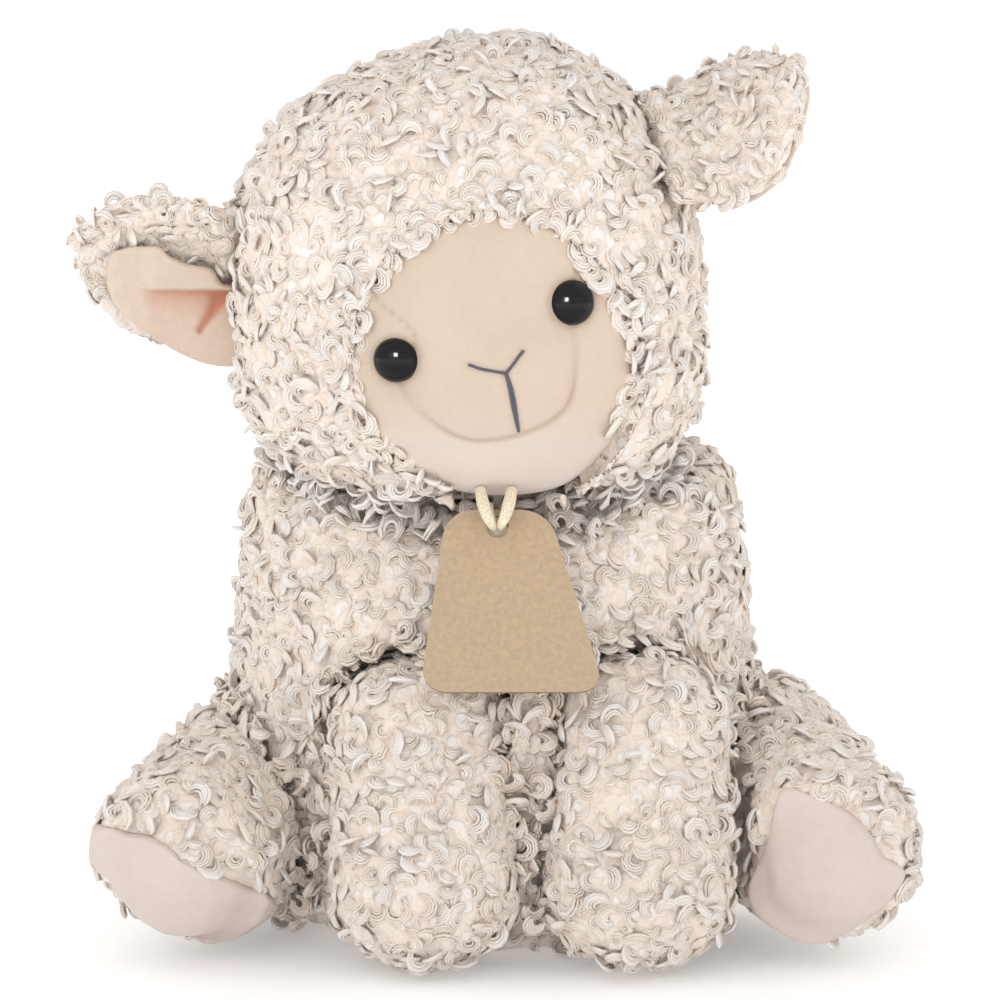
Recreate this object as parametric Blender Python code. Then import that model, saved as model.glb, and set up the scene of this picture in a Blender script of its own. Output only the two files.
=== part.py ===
"""A seated plush sheep, 250 mm tall, with curly fleece, a velour face and a card tag.

Units are metres and +Z is up. The sheep faces -Y and its own left side is at +X.
Every form is given at the tips of its curly pile, and its cloth wall holds pile and backing.
"""

import itertools
import math

import bmesh
import bpy
from mathutils import Matrix, Vector

# Cloth walls and gaps
FLEECE_WALL = 0.0060
VELOUR_WALL = 0.0025
VELOUR_INSET = FLEECE_WALL - VELOUR_WALL
SEWN_GAP = 0.0003
RUNNING_GAP = 0.0009
LEG_GAP = 0.0034
OVERRUN = 0.0200

# Body
BODY_X = -0.0020
BODY_HEIGHT = 0.1375
BODY_HALF_WIDTH = 0.0745
BODY_HALF_DEPTH = 0.0620
BODY_SET_BACK = 0.0060
BODY_RING_SHARES = (
    (0.00, 0.67, 0.70, 0.00),
    (0.06, 0.82, 0.85, 0.00),
    (0.18, 0.93, 0.95, 0.02),
    (0.38, 1.00, 1.00, 0.12),
    (0.58, 1.00, 0.99, 0.35),
    (0.74, 0.98, 0.94, 0.62),
    (0.86, 0.96, 0.84, 0.90),
    (0.94, 0.92, 0.74, 1.00),
    (1.00, 0.84, 0.60, 1.05),
    (1.06, 0.62, 0.38, 1.30),
)
BODY_SIDES = 22
SEAT_HALF_WIDTH = 0.0400
SEAT_HALF_DEPTH = 0.0340

# Neck: a ball of stuffing in a fleece band, which the head turns, nods and tilts on
NECK_CENTRE = Vector((-0.0050, 0.0000, 0.1410))
NECK_RADIUS = 0.0300
NECK_BAND_WALL = 0.0035
NECK_BAND_BORE = 0.0180
HEAD_UNDERCUT_LEAN = math.radians(17.0)
# How far the head turns, nods up and down and tilts, which shapes the shoulders under it
HEAD_TURNS = (math.radians(-10.0), 0.0, math.radians(10.0))
HEAD_NODS = (math.radians(-2.0), math.radians(8.0))
HEAD_TILTS = (math.radians(-4.0), math.radians(4.0))
SHOULDER_MARGIN = math.radians(0.7)
CHEST_LEAN = math.radians(30.0)
NECK_SIDES = 20
NECK_RINGS = 12

# Head
HEAD_CENTRE = Vector((-0.0096, -0.0120, 0.1888))
HEAD_HALF_WIDTH = 0.0655
HEAD_HALF_DEPTH = 0.0620
HEAD_HALF_HEIGHT = 0.0610
HEAD_ROLL = math.radians(18.0)
HEAD_FULLNESS = 2.25
HEAD_JOWL_SHARE = 0.40
MUZZLE_SWELL = 0.0130
MUZZLE_DROP = math.radians(52.0)
MUZZLE_SPREAD = math.radians(42.0)
HEAD_SIDES = 24
HEAD_RINGS = 14

# Face, seen along the head's own -Y, from the head's centre
FACE_X = 0.0008
FACE_HALF_WIDTH = 0.0375
FACE_TOP = 0.0135
FACE_BOTTOM = -0.0680
FACE_BACK = -0.0200
FACE_OUTLINE_SHARES = (
    (0.00, 1.00), (0.28, 0.985), (0.55, 0.92), (0.74, 0.84), (0.83, 0.755),
    (0.94, 0.64), (1.00, 0.51), (0.99, 0.39), (0.88, 0.27), (0.67, 0.15),
    (0.38, 0.05), (0.00, 0.00),
)
SMILE_HALF_WIDTH = 0.0245
SMILE_BOTTOM = -0.0468
SMILE_TOP = 0.0000
SMILE_SHARES = (
    (1.32, 1.00), (1.04, 0.80), (1.00, 0.64), (0.98, 0.40), (0.82, 0.20),
    (0.57, 0.07), (0.25, 0.01), (0.00, 0.00),
)

# Eyes: a domed button on a post, with a lock washer inside
EYE_SPACING = 0.0482
EYE_HEIGHT = -0.0165
EYE_RADIUS = 0.0060
EYE_DOME = 0.0048
EYE_SEAT = 0.0007
EYE_POST_RADIUS = 0.0018
EYE_POST_LENGTH = 0.0110
EYE_SIDES = 16
EYE_DOME_STEPS = 4
WASHER_RADIUS = 0.0070
WASHER_WALL = 0.0014
WASHER_SEAT = 0.0019

# Nose and mouth stitching
THREAD_RADIUS = 0.00045
NOSE_HEIGHT = -0.0288
NOSE_ARM_WIDTH = 0.0078
NOSE_ARM_RISE = 0.0053
MOUTH_BOTTOM = -0.0458
STITCH_STEPS = 5

# Finding a point of the face by closing in on it
CLOSING_STEPS = 20
CLOSING_SHARE = 0.8
LEAST_FACING = 0.05

# Ears
EAR_LENGTH = 0.0425
EAR_HALF_WIDTH = 0.0235
EAR_END_DRAW = 0.10
EAR_CUP = 0.0055
EAR_FLEECE_WALL = 0.0048
EAR_LINING_WALL = 0.0022
EAR_LINING_GAP = 0.0009
EAR_ROOT_RADIUS = 0.0046
EAR_LEAF_SHARES = (
    (0.00, 0.80), (0.18, 0.95), (0.40, 1.00), (0.60, 0.94), (0.78, 0.76), (0.91, 0.50),
    (1.00, 0.26),
)
EAR_LEAF_STEPS = 6
EAR_LINING_START_SHARE = 0.17
# For each ear: side, rise of its line above the head's own level, sweep of its line to the back,
# turn of its open face from down to front, and turns of its root from the head's side to the front
# and up
EARS = {
    "right": (-1, math.radians(24.0), math.radians(-6.0), math.radians(58.0), math.radians(8.0), math.radians(17.0)),
    "left": (1, math.radians(6.0), math.radians(-8.0), math.radians(-46.0), math.radians(18.0), math.radians(12.0)),
}

# Front legs, which hang from a hinge line in the chest
FRONT_LEG_X = 0.0085
FRONT_LEG_SPACING = 0.0575
FRONT_LEG_HALF_WIDTH = 0.0272
FRONT_HIP = Vector((0.0, -0.0460, 0.0660))
FRONT_HIP_RADIUS = 0.0210
FRONT_PAW = Vector((0.0, -0.0610, 0.0225))
FRONT_PAW_DEPTH = 0.0235
FRONT_PAW_HEIGHT = 0.0230
HIP_SHRINK = 0.0004

# Hind legs, which lie out to the sides with their soles forward
HIND_HIPS = {"right": Vector((-0.0660, 0.0040, 0.0370)), "left": Vector((0.0720, 0.0040, 0.0400))}
HIND_HIP_RADIUS = 0.0315
HIND_FEET = {"right": Vector((-0.0850, -0.0500, 0.0305)), "left": Vector((0.0888, -0.0500, 0.0325))}
HIND_FOOT_RADII = Vector((0.0270, 0.0280, 0.0272))
HIND_HINGE_SHARE = 0.45
HIND_HINGE_RISE = 0.0220
SOLE_OFFSETS = {"right": 0.0100, "left": 0.0140}
# Direction of each sole, as azimuth from straight ahead and angle below level
SOLE_AIMS = {
    "right": (math.radians(-14.0), math.radians(34.0)),
    "left": (math.radians(-12.0), math.radians(12.0)),
}

# Tail
TAIL_ROOT = Vector((-0.0020, 0.0625, 0.0340))
TAIL_ROOT_RADIUS = 0.0130
TAIL_TIP = Vector((-0.0020, 0.0745, 0.0280))
TAIL_TIP_RADIUS = 0.0105

# Card tag on a cotton cord
CORD_RADIUS = 0.0009
NECK_CORD_RADIUS = 0.0318
NECK_CORD_LIFT = 0.0013
NECK_CORD_SINK = 0.0010
NECK_CORD_FREE_HALF = math.radians(30.0)
NECK_CORD_DRAW = 0.07
TAG_X = -0.0006
TAG_CORD_AHEAD = 0.0022
TAG_HOLE = Vector((TAG_X, -0.0580, 0.1203))
TAG_LEAN = math.radians(23.0)
TAG_WALL = 0.0012
TAG_TOP_WIDTH = 0.0270
TAG_BOTTOM_WIDTH = 0.0490
TAG_LENGTH = 0.0498
TAG_ABOVE_HOLE = 0.0048
TAG_CORNER = 0.0070
TAG_HOLE_RADIUS = 0.0030
TAG_X_SHIFT = 0.0040
CORD_HALF_SPREAD = 0.0030
CORD_SAG = 0.0040
CORD_SAG_SHARE = 0.35
STRAND_SPREAD_SHARE = 1.15
KNOT_RADIUS = 0.0032
KNOT_GAP = 0.0010

BALL_SIDES = 16
BALL_RINGS = 8
CORD_STEPS = 24

HEAD_TURN = Matrix.Translation(HEAD_CENTRE) @ Matrix.Rotation(-HEAD_ROLL, 4, "Y")


def clear_scene():
    for old in list(bpy.data.objects):
        bpy.data.objects.remove(old)


def finish_material(name, colour, roughness, metallic=0.0):
    material = bpy.data.materials.new(name)
    material.use_nodes = True
    shader = material.node_tree.nodes["Principled BSDF"]
    shader.inputs["Base Color"].default_value = (*colour, 1.0)
    shader.inputs["Roughness"].default_value = roughness
    shader.inputs["Metallic"].default_value = metallic
    return material


def new_object(name, bm, material=None):
    """Makes an object of a bmesh. One with no material is a cutter, which is never shown."""
    bmesh.ops.recalc_face_normals(bm, faces=bm.faces)
    mesh = bpy.data.meshes.new(name)
    bm.to_mesh(mesh)
    bm.free()
    mesh.shade_smooth()
    mesh.set_sharp_from_angle(angle=math.radians(50.0))
    obj = bpy.data.objects.new(name, mesh)
    bpy.context.scene.collection.objects.link(obj)
    if material is None:
        obj.hide_render = True
        obj.display_type = "WIRE"
    else:
        mesh.materials.append(material)
    return obj


def combine(obj, operation, *others, solver="EXACT"):
    for other in others:
        modifier = obj.modifiers.new(other.name, "BOOLEAN")
        modifier.operation = operation
        modifier.object = other
        modifier.solver = solver
    return obj


def cut(obj, *cutters):
    return combine(obj, "DIFFERENCE", *cutters)


def fill_cut(bm, plane_point, plane_normal):
    """Cuts away what lies beyond a plane and closes the cut."""
    result = bmesh.ops.bisect_plane(
        bm,
        geom=bm.verts[:] + bm.edges[:] + bm.faces[:],
        plane_co=plane_point,
        plane_no=plane_normal,
        clear_outer=True,
    )
    rim = [item for item in result["geom_cut"] if isinstance(item, bmesh.types.BMEdge)]
    if rim:
        bmesh.ops.holes_fill(bm, edges=rim, sides=0)


def ball_mesh(centre, radii, sides=BALL_SIDES, rings=BALL_RINGS, poles="Z"):
    bm = bmesh.new()
    bmesh.ops.create_uvsphere(bm, u_segments=sides, v_segments=rings, radius=1.0)
    if poles == "X":
        bmesh.ops.rotate(bm, verts=bm.verts, matrix=Matrix.Rotation(math.pi / 2, 3, "Y"))
    bmesh.ops.scale(bm, verts=bm.verts, vec=radii)
    bmesh.ops.translate(bm, verts=bm.verts, vec=centre)
    return bm


def stuffed_mesh(balls, poles="Z", sides=BALL_SIDES, rings=BALL_RINGS):
    """The skin stretched over two or more balls, given as centre and radii."""
    hull = bmesh.new()
    for centre, radii in balls:
        ball = ball_mesh(centre, radii, sides, rings, poles)
        for vert in ball.verts:
            hull.verts.new(vert.co)
        ball.free()
    found = bmesh.ops.convex_hull(hull, input=hull.verts)
    spare = {item for item in found["geom_interior"] + found["geom_unused"] if item.is_valid}
    bmesh.ops.delete(hull, geom=list(spare), context="VERTS")
    return hull


def turned_mesh(profile, sides, matrix):
    """Spins a profile of (radius, height) points about the Z axis of a matrix."""
    bm = bmesh.new()
    verts = [bm.verts.new((radius, 0.0, height)) for radius, height in profile]
    edges = [bm.edges.new(pair) for pair in zip(verts, verts[1:])]
    bmesh.ops.spin(
        bm, geom=verts + edges, cent=(0, 0, 0), axis=(0, 0, 1), angle=2 * math.pi, steps=sides,
        use_merge=True,
    )
    bmesh.ops.remove_doubles(bm, verts=bm.verts, dist=THREAD_RADIUS / 100)
    bmesh.ops.transform(bm, verts=bm.verts, matrix=matrix)
    return bm


def prism_mesh(outline, near, far, matrix):
    """Extrudes an outline of (x, z) points from y = near to y = far in the frame of a matrix."""
    bm = bmesh.new()
    face = bm.faces.new([bm.verts.new((x, near, z)) for x, z in outline])
    grown = bmesh.ops.extrude_face_region(bm, geom=[face])
    moved = [item for item in grown["geom"] if isinstance(item, bmesh.types.BMVert)]
    bmesh.ops.translate(bm, verts=moved, vec=(0, far - near, 0))
    bmesh.ops.transform(bm, verts=bm.verts, matrix=matrix)
    return bm


def aim(point, direction, across=Vector((1, 0, 0))):
    """A frame at a point whose Z axis looks along a direction."""
    z_axis = direction.normalized()
    y_axis = z_axis.cross(across).normalized()
    x_axis = y_axis.cross(z_axis)
    return Matrix.Translation(point) @ Matrix((x_axis, y_axis, z_axis)).transposed().to_4x4()


def tube(name, points, radius, material, cyclic=False, resolution=1):
    curve = bpy.data.curves.new(name, "CURVE")
    curve.dimensions = "3D"
    curve.bevel_depth = radius
    curve.bevel_resolution = resolution
    curve.use_fill_caps = True
    spline = curve.splines.new("POLY")
    spline.points.add(len(points) - 1)
    spline.use_cyclic_u = cyclic
    for target, point in zip(spline.points, points):
        target.co = (*point, 1.0)
    obj = bpy.data.objects.new(name, curve)
    bpy.context.scene.collection.objects.link(obj)
    if material is None:
        obj.hide_render = True
        obj.display_type = "WIRE"
    else:
        curve.materials.append(material)
    return obj


def as_mesh(obj):
    """Turns a tube into a mesh object, which a Boolean can take."""
    bpy.context.view_layer.update()
    graph = bpy.context.evaluated_depsgraph_get()
    mesh = bpy.data.meshes.new_from_object(obj.evaluated_get(graph))
    name = obj.name
    bpy.data.objects.remove(obj)
    bm = bmesh.new()
    bm.from_mesh(mesh)
    bpy.data.meshes.remove(mesh)
    bmesh.ops.remove_doubles(bm, verts=bm.verts, dist=THREAD_RADIUS / 100)
    return name, bm


def body_mesh(grow):
    """The body's lofted form, grown or shrunk by a length."""
    bm = bmesh.new()
    half_height = BODY_HEIGHT / 2
    rings = []
    for height_share, width_share, depth_share, back_share in BODY_RING_SHARES:
        height = half_height + (height_share * BODY_HEIGHT - half_height) * (1 + grow / half_height)
        back = BODY_SET_BACK * back_share
        ring = []
        for step in range(BODY_SIDES):
            angle = 2 * math.pi * step / BODY_SIDES
            x = BODY_X + (BODY_HALF_WIDTH * width_share + grow) * math.cos(angle)
            y = back + (BODY_HALF_DEPTH * depth_share + grow) * math.sin(angle)
            ring.append(bm.verts.new((x, y, height)))
        rings.append(ring)
    for low, high in zip(rings, rings[1:]):
        for step in range(BODY_SIDES):
            after = (step + 1) % BODY_SIDES
            bm.faces.new((low[step], low[after], high[after], high[step]))
    bm.faces.new(rings[0])
    bm.faces.new(rings[-1])
    bmesh.ops.recalc_face_normals(bm, faces=bm.faces)
    return bm


def shoulder_ways():
    """The ways out of the shoulders' planes: one under the head in each extreme pose, one in front."""
    ways = [Vector((0, -math.sin(CHEST_LEAN), math.cos(CHEST_LEAN)))]
    under_head = Vector((0, -math.sin(HEAD_UNDERCUT_LEAN), math.cos(HEAD_UNDERCUT_LEAN)))
    for turn, nod, tilt in itertools.product(HEAD_TURNS, HEAD_NODS, HEAD_TILTS):
        wide_nod = nod + math.copysign(SHOULDER_MARGIN, nod)
        wide_tilt = tilt + math.copysign(SHOULDER_MARGIN, tilt)
        pose = (
            Matrix.Rotation(turn, 3, "Z")
            @ Matrix.Rotation(-wide_nod, 3, "X")
            @ Matrix.Rotation(wide_tilt, 3, "Y")
        )
        ways.append(pose @ under_head)
    return ways


def shoulder_height(x, y):
    """How high the shoulders are above or below the neck's centre, at a place beside it."""
    top = BODY_HEIGHT * BODY_RING_SHARES[-1][0] - NECK_CENTRE.z
    return min(top, *(-(way.x * x + way.y * y) / way.z for way in shoulder_ways()))


def body_solid(name, grow, material=None):
    bm = body_mesh(grow)
    for way in shoulder_ways():
        fill_cut(bm, NECK_CENTRE + way * grow, way)
    return new_object(name, bm, material)


def neck_ball(name, grow, material=None):
    radius = NECK_RADIUS + grow
    return new_object(name, ball_mesh(NECK_CENTRE, (radius,) * 3, NECK_SIDES, NECK_RINGS), material)


def head_point(unit, inset):
    """A point of the head's form in its own frame, for a direction from its centre."""
    muzzle = Vector((0, -math.cos(MUZZLE_DROP), -math.sin(MUZZLE_DROP)))
    swell = MUZZLE_SWELL * math.exp(-((unit.angle(muzzle) / MUZZLE_SPREAD) ** 2))
    full = sum(abs(part) ** HEAD_FULLNESS for part in unit) ** (-1 / HEAD_FULLNESS)
    point = Vector((
        (HEAD_HALF_WIDTH * full - inset + swell) * unit.x,
        (HEAD_HALF_DEPTH * full - inset + swell) * unit.y,
        (HEAD_HALF_HEIGHT * full - inset + swell) * unit.z,
    ))
    level = Matrix.Rotation(-HEAD_ROLL, 3, "Y")
    point = level @ point
    point.x *= 1 + HEAD_JOWL_SHARE * max(0.0, -point.z / HEAD_HALF_HEIGHT) ** 2
    return level.transposed() @ point


def face_point(x, z, inset):
    """The point of the head's front at x and z in its own frame, found by closing in on it."""
    unit = Vector((x / HEAD_HALF_WIDTH, -1.0, z / HEAD_HALF_HEIGHT))
    unit.y = -math.sqrt(max(LEAST_FACING, 1 - unit.x ** 2 - unit.z ** 2))
    for _ in range(CLOSING_STEPS):
        point = head_point(unit.normalized(), inset)
        unit.x += CLOSING_SHARE * (x - point.x) / HEAD_HALF_WIDTH
        unit.z += CLOSING_SHARE * (z - point.z) / HEAD_HALF_HEIGHT
        unit.y = -math.sqrt(max(LEAST_FACING, 1 - unit.x ** 2 - unit.z ** 2))
    return head_point(unit.normalized(), inset)


def face_normal(x, z, inset):
    reach = EYE_RADIUS / 2
    across = face_point(x + reach, z, inset) - face_point(x - reach, z, inset)
    along = face_point(x, z + reach, inset) - face_point(x, z - reach, inset)
    return across.cross(along).normalized()


def head_solid(name, inset, material=None):
    bm = bmesh.new()
    bmesh.ops.create_uvsphere(bm, u_segments=HEAD_SIDES, v_segments=HEAD_RINGS, radius=1.0)
    for vert in bm.verts:
        vert.co = head_point(vert.co.normalized(), inset)
    bmesh.ops.transform(bm, verts=bm.verts, matrix=HEAD_TURN)
    underside = Vector((0, math.sin(HEAD_UNDERCUT_LEAN), -math.cos(HEAD_UNDERCUT_LEAN)))
    fill_cut(bm, NECK_CENTRE - underside * inset, underside)
    return new_object(name, bm, material)


def face_outline(grow):
    half = []
    for width_share, height_share in FACE_OUTLINE_SHARES:
        z = FACE_BOTTOM - grow + (FACE_TOP - FACE_BOTTOM + 2 * grow) * height_share
        half.append(((FACE_HALF_WIDTH + grow) * width_share, z))
    other = [(-x, z) for x, z in reversed(half) if x > 0]
    return [(FACE_X + x, z) for x, z in half + other]


def smile_outline(grow):
    """The forehead and muzzle panel: its seam runs from the brow through the eyes and round the smile."""
    half = []
    for width_share, height_share in SMILE_SHARES:
        z = SMILE_BOTTOM - grow + (SMILE_TOP - SMILE_BOTTOM + grow) * height_share
        half.append(((SMILE_HALF_WIDTH + grow) * width_share, z))
    top_x = half[0][0] + FACE_TOP
    half.insert(0, (top_x, FACE_TOP + OVERRUN))
    other = [(-x, z) for x, z in reversed(half) if x > 0]
    return [(FACE_X + x, z) for x, z in half + other]


def face_prism(name, outline, overrun=0.0):
    """A block behind an outline on the face. The overrun keeps two blocks' ends off one plane."""
    near = -HEAD_HALF_DEPTH - OVERRUN - overrun
    return new_object(name, prism_mesh(outline, near, FACE_BACK + overrun, HEAD_TURN))


def eye_frame(side):
    """A frame on the face, its Z axis out of the cloth."""
    x = FACE_X + side * EYE_SPACING / 2
    point = face_point(x, EYE_HEIGHT, VELOUR_INSET)
    normal = face_normal(x, EYE_HEIGHT, VELOUR_INSET)
    return HEAD_TURN @ aim(point, normal)


def make_eye(side, label, materials):
    """One domed eye with its post, the washer that locks it and the room that both need."""
    frame = eye_frame(side)
    dome = [
        (EYE_RADIUS * math.cos(angle), EYE_SEAT + EYE_DOME * math.sin(angle))
        for angle in (
            math.pi / 2 * step / EYE_DOME_STEPS for step in range(EYE_DOME_STEPS, -1, -1)
        )
    ]
    dome[0] = (0.0, EYE_SEAT + EYE_DOME)
    post = [(EYE_POST_RADIUS, EYE_SEAT), (EYE_POST_RADIUS, -EYE_POST_LENGTH), (0.0, -EYE_POST_LENGTH)]
    new_object("eye_" + label, turned_mesh(dome + post, EYE_SIDES, frame), materials["eye"])
    bore = EYE_POST_RADIUS + SEWN_GAP
    top = -VELOUR_WALL - WASHER_SEAT
    low = top - WASHER_WALL
    ring = [(bore, top), (WASHER_RADIUS, top), (WASHER_RADIUS, low), (bore, low), (bore, top)]
    new_object("eye_washer_" + label, turned_mesh(ring, EYE_SIDES, frame), materials["washer"])
    hole = [(0.0, OVERRUN), (bore, OVERRUN), (bore, -OVERRUN), (0.0, -OVERRUN)]
    hole = new_object("eye_hole_" + label, turned_mesh(hole, EYE_SIDES, frame))
    wide = WASHER_RADIUS + SEWN_GAP
    deep = -EYE_POST_LENGTH - SEWN_GAP
    room = [(0.0, 0.0), (wide, 0.0), (wide, deep), (0.0, deep)]
    return hole, new_object("eye_room_" + label, turned_mesh(room, EYE_SIDES, frame))


def stitch_points(stops):
    """Points along a thread that lies on the face, between stops of (x, z)."""
    points = []
    lift = THREAD_RADIUS + SEWN_GAP
    for (x0, z0), (x1, z1) in zip(stops, stops[1:]):
        for step in range(STITCH_STEPS):
            share = step / STITCH_STEPS
            x = x0 + (x1 - x0) * share
            z = z0 + (z1 - z0) * share
            points.append((x, z))
    points.append(stops[-1])
    laid = []
    for x, z in points:
        place = face_point(x, z, VELOUR_INSET) + face_normal(x, z, VELOUR_INSET) * lift
        laid.append(HEAD_TURN @ place)
    return laid


def make_stitches(materials):
    nose = (FACE_X, NOSE_HEIGHT)
    arm = NOSE_HEIGHT + NOSE_ARM_RISE
    arms = [(FACE_X - NOSE_ARM_WIDTH, arm), nose, (FACE_X + NOSE_ARM_WIDTH, arm)]
    tube("nose_stitch", stitch_points(arms), THREAD_RADIUS, materials["thread"])
    start = NOSE_HEIGHT - 3 * THREAD_RADIUS
    mouth = [(FACE_X, start), (FACE_X, MOUTH_BOTTOM)]
    tube("mouth_stitch", stitch_points(mouth), THREAD_RADIUS, materials["thread"])


def make_head(materials, neck_room, ear_rooms):
    cover_room = head_solid("head_cover_room", FLEECE_WALL)
    opening = face_prism("face_opening", face_outline(SEWN_GAP))
    for side, label in ((-1, "right"), (1, "left")):
        half = bmesh.new()
        bmesh.ops.create_cube(half, size=1.0)
        reach = 2 * (HEAD_HALF_WIDTH + OVERRUN)
        bmesh.ops.scale(half, verts=half.verts, vec=(reach, 2 * reach, 2 * reach))
        shift = FACE_X - side * (reach - SEWN_GAP) / 2
        bmesh.ops.translate(half, verts=half.verts, vec=(shift, 0, 0))
        bmesh.ops.transform(half, verts=half.verts, matrix=HEAD_TURN)
        other_half = new_object("head_half_" + label, half)
        name = "head_cover_" + label
        cover = head_solid(name, 0.0, materials["fleece"])
        cut(cover, cover_room, opening, neck_room, other_half, *ear_rooms)
    face_shape = face_prism("face_shape", face_outline(0.0))
    smile_shape = face_prism("smile_shape", smile_outline(0.0), FLEECE_WALL)
    smile_opening = face_prism("smile_opening", smile_outline(SEWN_GAP), FLEECE_WALL)
    holes = []
    rooms = []
    for side, label in ((-1, "right"), (1, "left")):
        hole, room = make_eye(side, label, materials)
        holes.append(hole)
        rooms.append(room)
    forehead = head_solid("face_panel", VELOUR_INSET, materials["velour"])
    combine(forehead, "INTERSECT", face_shape, smile_shape, solver="MANIFOLD")
    combine(forehead, "DIFFERENCE", cover_room, *holes, solver="MANIFOLD")
    cheeks = head_solid("cheek_panel", VELOUR_INSET, materials["velour"])
    combine(cheeks, "INTERSECT", face_shape)
    cut(cheeks, smile_opening, cover_room, neck_room, *holes)
    stuffing = head_solid("head_stuffing", FLEECE_WALL + 2 * SEWN_GAP, materials["stuffing"])
    cut(stuffing, neck_room, *rooms, *ear_rooms)
    make_stitches(materials)


def ear_frame(label):
    """A frame on the head's side: X along the ear, Y across it, Z out of its open face."""
    side, rise, sweep, opening, ahead, root_rise = EARS[label]
    level = math.cos(root_rise)
    unit = Vector((side * level * math.cos(ahead), -level * math.sin(ahead), math.sin(root_rise)))
    root = head_point(unit, 0.0)
    out = Vector((side * math.cos(sweep), math.sin(sweep), 0))
    up = Vector((0, 0, 1))
    along = out * math.cos(rise) + up * math.sin(rise)
    down = out * math.sin(rise) - up * math.cos(rise)
    front = Vector((side * math.sin(sweep), -math.cos(sweep), 0))
    open_way = down * math.cos(opening) + front * math.sin(opening)
    across = open_way.cross(along)
    axes = Matrix((along, across, open_way)).transposed().to_4x4()
    return HEAD_TURN @ Matrix.Translation(root) @ axes


def ear_width_share(share):
    for (start, low), (end, high) in zip(EAR_LEAF_SHARES, EAR_LEAF_SHARES[1:]):
        if share <= end:
            return low + (high - low) * (share - start) / (end - start)
    return EAR_LEAF_SHARES[-1][1]


def ear_leaf_mesh(start_share, inner, wall, trim, frame):
    """A cupped leaf of cloth: its face towards the opening lies at inner, its back a wall behind."""
    bm = bmesh.new()
    steps = EAR_LEAF_STEPS
    bmesh.ops.create_grid(bm, x_segments=steps, y_segments=steps, size=0.5)
    for vert in bm.verts:
        along = start_share + (1 - start_share) * (vert.co.x + 0.5)
        across = 2 * vert.co.y
        width_share = ear_width_share(along)
        half = (EAR_HALF_WIDTH - trim) * width_share
        length = (EAR_LENGTH - trim) * along - EAR_HALF_WIDTH * EAR_END_DRAW * across ** 2 * along
        reach = along * (EAR_LENGTH - trim) / EAR_LENGTH
        height = inner + EAR_CUP * width_share * across ** 2 - EAR_CUP * reach ** 2
        vert.co = Vector((length, half * across, height))
    bmesh.ops.recalc_face_normals(bm, faces=bm.faces)
    if sum((face.normal.z for face in bm.faces), 0.0) < 0:
        bmesh.ops.reverse_faces(bm, faces=bm.faces)
    bmesh.ops.solidify(bm, geom=bm.faces[:], thickness=wall)
    bmesh.ops.transform(bm, verts=bm.verts, matrix=frame)
    return bm


def bar_mesh(radius, half_length, frame, sides=16):
    """A bar with round ends along the Y axis of a frame."""
    profile = [(0.0, half_length)]
    for step in range(1, 5):
        angle = math.pi / 2 * (1 - step / 4)
        profile.append((radius * math.cos(angle), half_length - radius + radius * math.sin(angle)))
    profile += [(r, -h) for r, h in reversed(profile)]
    return turned_mesh(profile, sides, frame @ Matrix.Rotation(-math.pi / 2, 4, "X"))


def make_ear(label, materials):
    frame = ear_frame(label)
    half_bar = EAR_HALF_WIDTH * EAR_LEAF_SHARES[0][1] + EAR_ROOT_RADIUS / 2
    root = new_object("ear_root_" + label, bar_mesh(EAR_ROOT_RADIUS, half_bar, frame))
    back = EAR_ROOT_RADIUS / 2
    cover_mesh = ear_leaf_mesh(0.0, back, EAR_FLEECE_WALL, 0.0, frame)
    cover = new_object("ear_cover_" + label, cover_mesh, materials["fleece"])
    combine(cover, "UNION", root)
    inner = back + EAR_LINING_WALL + EAR_LINING_GAP
    start = EAR_LINING_START_SHARE
    lining_mesh = ear_leaf_mesh(start, inner, EAR_LINING_WALL, SEWN_GAP + EAR_LINING_WALL / 2, frame)
    new_object("ear_lining_" + label, lining_mesh, materials["velour"])
    room_bar = bar_mesh(EAR_ROOT_RADIUS + RUNNING_GAP, half_bar + RUNNING_GAP, frame)
    return new_object("ear_room_" + label, room_bar)


def front_leg_balls(side, grow):
    shift = Vector((FRONT_LEG_X + side * FRONT_LEG_SPACING / 2, 0, 0))
    half = FRONT_LEG_HALF_WIDTH + grow
    hip = (half, FRONT_HIP_RADIUS + grow, FRONT_HIP_RADIUS + grow)
    paw = (half, FRONT_PAW_DEPTH + grow, FRONT_PAW_HEIGHT + grow)
    return (FRONT_HIP + shift, hip), (FRONT_PAW + shift, paw)


def front_hip_ball(name, side, grow):
    centre, radii = front_leg_balls(side, grow)[0]
    return new_object(name, ball_mesh(centre, radii, poles="X"))


def make_front_leg(side, label, materials, body_room):
    """A leg whose top is round about its hinge line, so that it turns in the chest."""
    forms = []
    wall = -FLEECE_WALL
    for name, grow, slot in (
        ("front_leg_cover_", 0.0, "fleece"),
        ("front_leg_hollow_", wall, None),
        ("front_leg_stuffing_", wall - SEWN_GAP, "stuffing"),
    ):
        bm = stuffed_mesh(front_leg_balls(side, grow), "X")
        if grow == 0.0:
            fill_cut(bm, Vector(), Vector((0, 0, -1)))
        forms.append(new_object(name + label, bm, materials.get(slot)))
    cover, hollow, stuffing = forms
    cut(cover, body_room)
    combine(cover, "UNION", front_hip_ball("front_hip_" + label, side, -HIP_SHRINK))
    cut(cover, hollow)
    cut(stuffing, body_room)
    inner = wall - SEWN_GAP - HIP_SHRINK
    combine(stuffing, "UNION", front_hip_ball("front_hip_stuffing_" + label, side, inner))
    return front_hip_ball("front_hip_room_" + label, side, RUNNING_GAP)


def hind_leg_mesh(label, grow):
    hip = (HIND_HIPS[label], (HIND_HIP_RADIUS + grow,) * 3)
    foot = (HIND_FEET[label], tuple(radius + grow for radius in HIND_FOOT_RADII))
    return stuffed_mesh((hip, foot))


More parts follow.
